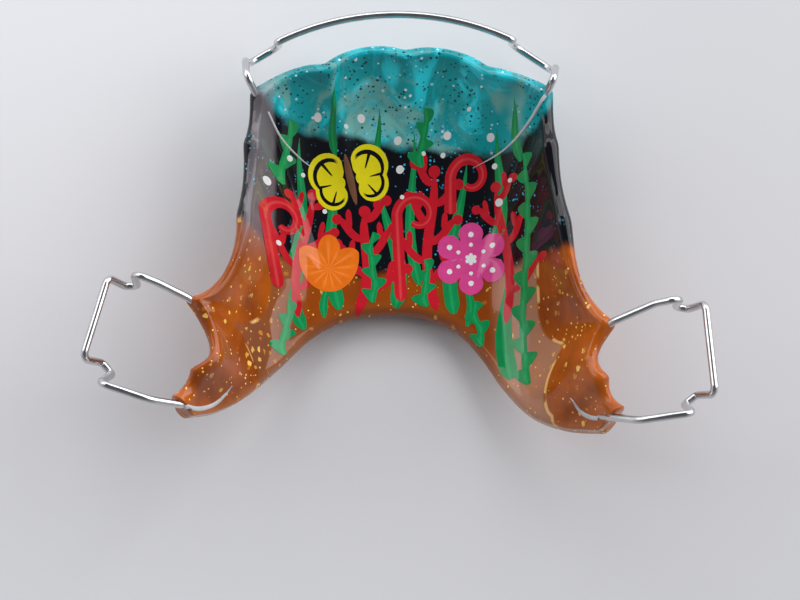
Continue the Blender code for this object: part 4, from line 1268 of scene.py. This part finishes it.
def amber_resin_colour(finish, place):
    """Streaky amber with gold flakes, paler at the thin rear edge and with a painted reflection on the
    arms' inner slopes.
    """
    colour = colours()
    across, forward, _ = finish.axes(place)
    arm = finish.ramp(finish.calculate("ABSOLUTE", across), *ARM_START)
    streak = finish.patches(place, "amber_streaks")
    tint = finish.glaze(colour.amber, colour.deep_amber, streak)
    edge = finish.fade(finish.mark("from_rear"), 0.0002, 0.0015)
    tint = finish.glaze(tint, colour.pale_amber, edge, 0.6)
    tint = finish.glaze(tint, colour.deep_amber, finish.less(1.0, arm), 0.6)
    past_crest = finish.calculate("MULTIPLY_ADD", forward, CREST_DRIFT, finish.mark("from_teeth"))
    past_crest = finish.less(past_crest, CREST_PLACE)
    # Painted reflection on the inner slopes past the arms' crests, darker on the left than on the right.
    reflected_tint = finish.mix(finish.ramp(across, -0.001, 0.001), colour.slope_reflection, colour.bright_slope_reflection)
    inner_slope = finish.ramp(past_crest, 0.0, 0.0003)
    tint = finish.glaze(tint, reflected_tint, inner_slope, arm, polished_side(finish), 0.6)
    # Painted highlights: broken gold lines along the arms' crests, on the polished side only.
    crest_highlight = finish.fade(finish.calculate("ABSOLUTE", past_crest), 0.00006, 0.0002)
    broken = finish.patches(place, "crest_highlight")
    tint = finish.glaze(tint, colour.crest_highlight, crest_highlight, broken, arm, polished_side(finish), 0.8)
    flake, bright = glitter(finish, place, "gold_flakes")
    drift = finish.patches(place, "gold_flakes")
    tint = finish.glaze(tint, finish.mix(bright, colour.amber, colour.gold), flake, drift)
    dust, _ = glitter(finish, place, "gold_dust")
    return finish.glaze(tint, colour.gold, dust)


def resin_material():
    """Clear cast resin with three fields of colour that blend into each other."""
    material, finish, shader = new_material("glitter_resin")
    place = finish.place()
    across, forward, _ = finish.axes(place)
    off_centre = finish.calculate("ABSOLUTE", across)

    def bank(reach, sharpness):
        """How a border between two fields climbs towards the side walls."""
        return finish.calculate("POWER", finish.calculate("DIVIDE", off_centre, reach), sharpness)

    ragged = finish.less(finish.noise(place, 420.0, 3.0), 0.5)
    wavy = finish.calculate("MULTIPLY_ADD", ragged, BORDER_WAVES, forward)
    teal_climb = finish.product(bank(*TEAL_BANK), TEAL_CLIMB)
    teal_border = finish.total(teal_climb, TEAL_PLACE, finish.product(across, TEAL_LEAN))
    teal_share = finish.ramp(finish.less(wavy, teal_border), *TEAL_BLEND)
    amber_climb = finish.total(finish.product(across, AMBER_CLIMB_LEAN), AMBER_CLIMB)
    amber_border = finish.total(finish.product(bank(*AMBER_BANK), amber_climb), AMBER_PLACE)
    night_share = finish.ramp(finish.less(wavy, amber_border), *AMBER_BLEND)
    tint = finish.glaze(amber_resin_colour(finish, place), night_resin_colour(finish, place), night_share)
    tint = finish.glaze(tint, teal_resin_colour(finish, place), teal_share)
    # Painted reflection: a pale shine down the left side wall, on the polished side only.
    outward = finish.calculate("MULTIPLY_ADD", ragged, 0.0004, across)
    wall_reflection_share = finish.fade(outward, *WALL_REFLECTION_INNER)
    inside = finish.product(finish.ramp(forward, *WALL_REFLECTION_REAR), finish.ramp(across, *WALL_REFLECTION_OUTER))
    tint = finish.glaze(tint, colours().wall_reflection, wall_reflection_share, inside, 0.45, polished_side(finish))
    polish(finish, shader, tint, place)
    return material


def paint_material(name, main, accent=None, accent_share=None, streaks=0.35):
    """Brushed paint under the clear gloss. accent_share draws a second colour on it."""
    material, finish, shader = new_material(name)
    place = finish.place()
    brushed = finish.patches(place, "brushed")
    tint = finish.glaze(main, shade(main, 0.55), brushed, streaks)
    if accent is not None:
        tint = finish.glaze(tint, accent, accent_share(finish))
    polish(finish, shader, tint, place)
    return material


def steel_material():
    """Polished round wire with faint drawing lines."""
    material, finish, shader = new_material("polished_wire")
    place = finish.place()
    steel = colours().steel
    tarnish = finish.patches(place, "tarnish")
    drawn = {"Value": finish.noise(place, 2600.0, 2.0), "To Min": 0.12, "To Max": 0.26}
    rough = finish.node("MapRange", drawn).outputs["Result"]
    tint = finish.glaze(steel, shade(steel, 0.8), tarnish)
    finish.fill(shader, {"Base Color": tint, "Roughness": rough, "Metallic": 1.0})
    return material


def middle_line(finish):
    """A lighter line along the middle of a stroke."""
    off_middle = finish.calculate("ABSOLUTE", finish.mark("across"))
    return finish.product(finish.fade(off_middle, 0.05, 0.4), 0.4)


def flower_accent(finish):
    """The pale middle, and two pale dots along each petal."""
    out = finish.mark("along")
    mask = finish.fade(out, 0.15, 0.18)
    turns = finish.product(finish.mark("across"), FLOWER_PETALS / 2)
    off_axis = finish.less(finish.calculate("FRACT", turns), 0.5)
    sideways = finish.product(off_axis, 2 * math.pi / FLOWER_PETALS, out)
    for centre, radius in ((0.40, 0.055), (0.68, 0.075)):
        outwards = finish.less(out, centre)
        square = finish.total(finish.product(outwards, outwards), finish.product(sideways, sideways))
        dot = finish.calculate("LESS_THAN", square, radius * radius)
        mask = finish.calculate("MAXIMUM", mask, dot)
    return mask


def tulip_accent(finish):
    """Lighter strokes that run out from the cup's foot."""
    fan = finish.calculate("SINE", finish.product(finish.mark("across"), 40.0))
    inner = finish.fade(finish.mark("along"), 0.5, 1.0)
    return finish.product(finish.ramp(fan, 0.2, 0.9), inner, 0.6)


def wing_accent(finish):
    """A dark band inside the outer rim and a few thin veins that fan out to it from the body."""
    out = finish.mark("along")
    turn = finish.product(finish.mark("across"), math.pi)
    outer = finish.ramp(finish.calculate("COSINE", turn), -0.25, 0.0)
    band = finish.calculate("COMPARE", out, 0.78, 0.065)
    fan = finish.calculate("COSINE", finish.product(turn, 6.0))
    inside = finish.product(finish.ramp(out, 0.26, 0.34), finish.calculate("LESS_THAN", out, 0.78))
    vein = finish.product(finish.ramp(fan, 0.88, 0.95), inside)
    return finish.product(finish.calculate("MAXIMUM", band, vein), outer)


# Pieces


class RETAINER_OT_cast_plate(bpy.types.Operator):
    """Cast the resin palate plate with its three fields of colour"""

    bl_idname = "retainer.cast_plate"
    bl_label = "Cast the plate"

    def execute(self, context):
        middle, polished, tissue, reaches = plate_rows()
        CAST["polished"] = polished
        CAST["polished_tree"] = surface_tree(polished)
        CAST["middle_tree"] = surface_tree(middle)
        across = len(polished[0])
        loops = [upper + lower for upper, lower in zip(polished, tissue)]
        front = list(reversed(rounded_tip(loops[0], loops[1])))
        back = rounded_tip(loops[-1], loops[-2])
        reaches = [reaches[0]] * len(front) + reaches + [reaches[-1]] * len(back)
        loops = front + loops + back
        plate, spots = sheet_of_quads("resin_plate", len(loops), across)
        from_rear, from_teeth, polished_share = [], [], []
        for vertex, (column, row, upper) in zip(plate.data.vertices, spots):
            vertex.co = loops[column][row if upper else row + across]
            from_rear.append(reaches[column][row][0])
            from_teeth.append(reaches[column][row][1])
            polished_share.append(1.0 if upper else 0.0)
        mark_points(plate, from_rear=from_rear, from_teeth=from_teeth, polished_share=polished_share)
        in_edit_mode(close_seams, face_outwards)
        smooth_plate()
        finish_piece(plate, resin_material(), "base_plate", slot="resin_plate")
        for vertex in plate.data.vertices:
            vertex.co.z = max(vertex.co.z, 0.0)
        return {"FINISHED"}


class RETAINER_OT_bend_bow(bpy.types.Operator):
    """Bend the labial bow with its two loops"""

    bl_idname = "retainer.bend_bow"
    bl_label = "Bend the labial bow"

    def execute(self, context):
        wire = bend_wire("bow_wire", bow_path())
        finish_piece(wire, steel_material(), "labial_bow", slot="stainless_wire")
        return {"FINISHED"}


class RETAINER_OT_bend_clasps(bpy.types.Operator):
    """Bend the two clasps that grip the molars"""

    bl_idname = "retainer.bend_clasps"
    bl_label = "Bend the clasps"

    def execute(self, context):
        for side, name in CLASPS.items():
            wire = bend_wire(name + "_wire", clasp_path(side))
            finish_piece(wire, steel_material(), name, slot="stainless_wire")
        return {"FINISHED"}


class RETAINER_OT_paint_leaves(bpy.types.Operator):
    """Paint the grass, the fronds, the berry sprigs and the scrolls"""

    bl_idname = "retainer.paint_leaves"
    bl_label = "Paint the leaves"

    def execute(self, context):
        colour = colours()
        leaf = paint_material("leaf_paint", colour.leaf, shade(colour.leaf, 1.6, 0.02), middle_line)
        twig = paint_material("twig_paint", colour.twig)
        scroll_paint = paint_material("scroll_paint", colour.twig, colour.rose, middle_line)
        grass = []
        for i, row in enumerate(BLADES):
            line, widths = leaning_stroke(*row, BLADE_FULLNESS)
            lift = layer_height("blade", BLADE_STEP * i)
            grass.append(painted_stroke("blade", line, widths, widths, lift))
        finish_piece(joined(grass, "grass_blades"), leaf, slot="green_inlay")
        for i, row in enumerate(SPRIGS, 1):
            strokes, berries = sprig_strokes(*row)
            parts = []
            for j, stroke in enumerate(strokes):
                line, widths = leaning_stroke(*stroke, TWIG_FULLNESS)
                lift = layer_height("twig", TWIG_STEP * j)
                parts.append(painted_stroke("twig", line, widths, widths, lift))
            parts += [painted_dot("berry", place, radius, 20, 3, "berry") for place, radius in berries]
            finish_piece(joined(parts, f"berry_sprig_{i}"), twig, slot="red_inlay")
        for i, row in enumerate(FRONDS, 1):
            stroke = frond_stroke(*row)
            frond = painted_stroke(f"frond_leaf_{i}", *stroke, layer_height("frond"), LEAFLET_SWEEP)
            finish_piece(frond, leaf, f"frond_{i}", slot="green_inlay")
        for i, row in enumerate(SCROLLS, 1):
            line, widths = scroll_stroke(*row)
            scroll = painted_stroke(f"scroll_curl_{i}", line, widths, widths, layer_height("scroll"))
            finish_piece(scroll, scroll_paint, f"scroll_{i}", slot="red_inlay")
        return {"FINISHED"}


class RETAINER_OT_paint_blooms(bpy.types.Operator):
    """Paint the flower, the tulip, the butterfly and the dots"""

    bl_idname = "retainer.paint_blooms"
    bl_label = "Paint the blooms"

    def execute(self, context):
        size, colour = sizes(), colours()
        lift = layer_height("bloom")
        petal = paint_material("petal_paint", colour.petal, colour.chalk, flower_accent)
        flower = painted_round("flower", FLOWER_CENTRE, flower_radius, 96, 12, lift)
        finish_piece(flower, petal, "flower_petals", slot="pink_inlay")
        cup = paint_material("tulip_paint", colour.tulip, shade(colour.tulip, 1.3, 0.05), tulip_accent)
        tulip = painted_round("tulip_cup", TULIP_CENTRE, tulip_radius, 96, 9, lift)
        finish_piece(tulip, cup, "tulip", slot="orange_inlay")
        wing_paint = paint_material("wing_paint", colour.wing, colour.night, wing_accent, 0.15)
        turn = Matrix.Rotation(BUTTERFLY_TILT, 2)
        root = size.butterfly_body_half_width + WING_GAP
        middle = (root + size.butterfly_wing * WING_MIDDLE, 0.0)
        for side, name in ((-1, "butterfly_left_wings"), (1, "butterfly_right_wings")):

            def spread(plan, side=side):
                inner = max(plan.x, root)
                return Vector(BUTTERFLY_CENTRE) + turn @ Vector((side * inner, plan.y))

            wings = painted_round(name + "_paint", middle, wing_radius, 80, 12, lift, spread)
            finish_piece(wings, wing_paint, name, slot="yellow_inlay")
        ink = paint_material("ink_paint", colour.ink)
        line, widths = [], []
        steps = 24
        for i in range(steps + 1):
            s = i / steps
            offset = Vector((0.0, size.butterfly_body_length * (s - 0.5)))
            line.append(Vector(BUTTERFLY_CENTRE) + turn @ offset)
            widths.append(size.butterfly_body_half_width * max(0.15, math.sin(math.pi * s) ** 0.5))
        body_lift = layer_height("butterfly_body")
        body = painted_stroke("butterfly_body_paint", line, widths, widths, body_lift)
        finish_piece(body, ink, "butterfly_body", slot="dark_inlay")
        chalk = paint_material("chalk_paint", colour.chalk, streaks=0.1)
        for i, place in enumerate(DOTS, 1):
            dot = painted_dot(f"dot_spot_{i}", place, size.dot_radius, 24, 3, "dot")
            finish_piece(dot, chalk, f"dot_{i}", slot="white_inlay")
        specks = [painted_dot("speck", (x, y), radius, 16, 2, "speck") for x, y, radius in SPECKS]
        finish_piece(joined(specks, "small_specks"), chalk, slot="white_inlay")
        return {"FINISHED"}


class RETAINER_OT_show_tags(bpy.types.Operator):
    """Lay the thin glints of the wire ends that show through the clear resin"""

    bl_idname = "retainer.show_tags"
    bl_label = "Show the wire ends"

    def execute(self, context):
        steel = paint_material("seen_wire", colours().seen_wire, streaks=0.5)
        for name, half_width, *places in SEEN_ENDS:
            line = spline_through(places, 16)
            last = len(line) - 1
            widths = [half_width * max(0.1, 1 - (i / last) ** 3) for i in range(last + 1)]
            lift, dome = layer_height("seen_end"), half_width * SEEN_END_DOME
            glint = painted_stroke(name + "_glint", line, widths, widths, lift, dome=dome)
            finish_piece(glint, steel, slot="stainless_wire")
        return {"FINISHED"}


class RETAINER_OT_set_stage(bpy.types.Operator):
    """Set up the table, the soft lamps and the camera"""

    bl_idname = "retainer.set_stage"
    bl_label = "Set the stage"

    def execute(self, context):
        lay_table()
        light_room()
        for row in SOFT_BOXES:
            hang_soft_box(*row)
        place_camera()
        context.scene.view_settings.view_transform = "Standard"
        return {"FINISHED"}


def lay_table():
    """The pale table top, with painted shade that makes it a little darker to the right and towards the
    front.
    """
    table = add_piece("table_top", bpy.ops.mesh.primitive_plane_add, size=3.0, location=(0.0, 0.0, 0.0))
    material, finish, shader = new_material("table_finish")
    place = finish.place()
    across, forward, _ = finish.axes(place)
    pale = colours().table
    tint = finish.glaze(pale, shade(pale, 0.985), finish.noise(place, 60.0, 3.0))
    # Painted shade: darker to the right and towards the front.
    tint = finish.glaze(tint, shade(pale, 0.80), finish.ramp(across, -0.040, 0.036))
    tint = finish.glaze(tint, shade(pale, 0.80), finish.fade(forward, -0.030, 0.020), 0.45)
    finish.fill(shader, {"Base Color": tint, "Roughness": 0.7, "Specular IOR Level": 0.2})
    table.data.materials.append(material)


def light_room():
    """An even room, pale low down and dimmer overhead and behind."""
    world = bpy.data.worlds.new("studio_room")
    bpy.context.scene.world = world
    world.use_nodes = True
    finish = Finish(world.node_tree)
    _, forward, upward = finish.axes(finish.node("TexCoord").outputs["Generated"])
    overhead = finish.ramp(upward, 0.15, 0.85)
    ahead = finish.ramp(forward, -0.9, 0.3)
    horizon = finish.mix(ahead, ROOM_BEHIND, ROOM_AHEAD)
    tint = finish.mix(overhead, horizon, ROOM_OVERHEAD)
    finish.fill(world.node_tree.nodes["Background"], {"Color": tint, "Strength": 1.0})


def hang_soft_box(name, bearing, height_angle, width, height, radiance):
    """A soft lamp that faces the retainer."""
    turn, rise = math.radians(bearing), math.radians(height_angle)
    flat = math.cos(rise)
    place = Vector((math.cos(turn) * flat, math.sin(turn) * flat, math.sin(rise))) * SOFT_BOX_DISTANCE
    lamp = add_piece(name, bpy.ops.object.light_add, type="AREA", location=place)
    lamp.data.shape = "RECTANGLE"
    lamp.data.size = width
    lamp.data.size_y = height
    lamp.data.energy = radiance * math.pi * width * height
    lamp.rotation_euler = (-place).to_track_quat("-Z", "Y").to_euler()


def place_camera():
    """The photograph's view, from above and behind the arch."""
    camera = add_piece("overhead_camera", bpy.ops.object.camera_add)
    camera.data.lens = CAMERA_LENS
    camera.data.sensor_width = 36.0
    camera.data.clip_start = 0.01
    target = Vector((0.0, 0.0, sizes().vault_height - CAMERA_AIM_DEPTH))
    back = Vector((0.0, -math.cos(CAMERA_ELEVATION), math.sin(CAMERA_ELEVATION))) * CAMERA_DISTANCE
    facing = (-back).to_track_quat("-Z", "Y").to_matrix().to_4x4()
    camera.matrix_world = seat() @ Matrix.Translation(target + back) @ facing
    bpy.context.scene.camera = camera


STEPS = (
    RETAINER_OT_cast_plate,
    RETAINER_OT_bend_bow,
    RETAINER_OT_bend_clasps,
    RETAINER_OT_paint_leaves,
    RETAINER_OT_paint_blooms,
    RETAINER_OT_show_tags,
    RETAINER_OT_set_stage,
)


class RETAINER_PT_sidebar(bpy.types.Panel):
    """The steps that make the retainer, in order"""

    bl_idname = "RETAINER_PT_sidebar"
    bl_label = "Hawley retainer"
    bl_space_type = "VIEW_3D"
    bl_region_type = "UI"
    bl_category = "Retainer"

    def draw(self, context):
        for step in STEPS:
            self.layout.operator(step.bl_idname)


CLASSES = (RetainerSizes, RetainerColours, *STEPS, RETAINER_PT_sidebar)


def register():
    for cls in CLASSES:
        bpy.utils.register_class(cls)
    bpy.types.Scene.retainer_sizes = bpy.props.PointerProperty(type=RetainerSizes)
    bpy.types.Scene.retainer_colours = bpy.props.PointerProperty(type=RetainerColours)


def unregister():
    del bpy.types.Scene.retainer_colours
    del bpy.types.Scene.retainer_sizes
    for cls in reversed(CLASSES):
        bpy.utils.unregister_class(cls)


def main():
    register()
    bpy.ops.retainer.cast_plate()
    bpy.ops.retainer.bend_bow()
    bpy.ops.retainer.bend_clasps()
    bpy.ops.retainer.paint_leaves()
    bpy.ops.retainer.paint_blooms()
    bpy.ops.retainer.show_tags()
    bpy.ops.retainer.set_stage()
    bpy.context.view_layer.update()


if __name__ == "__main__":
    main()
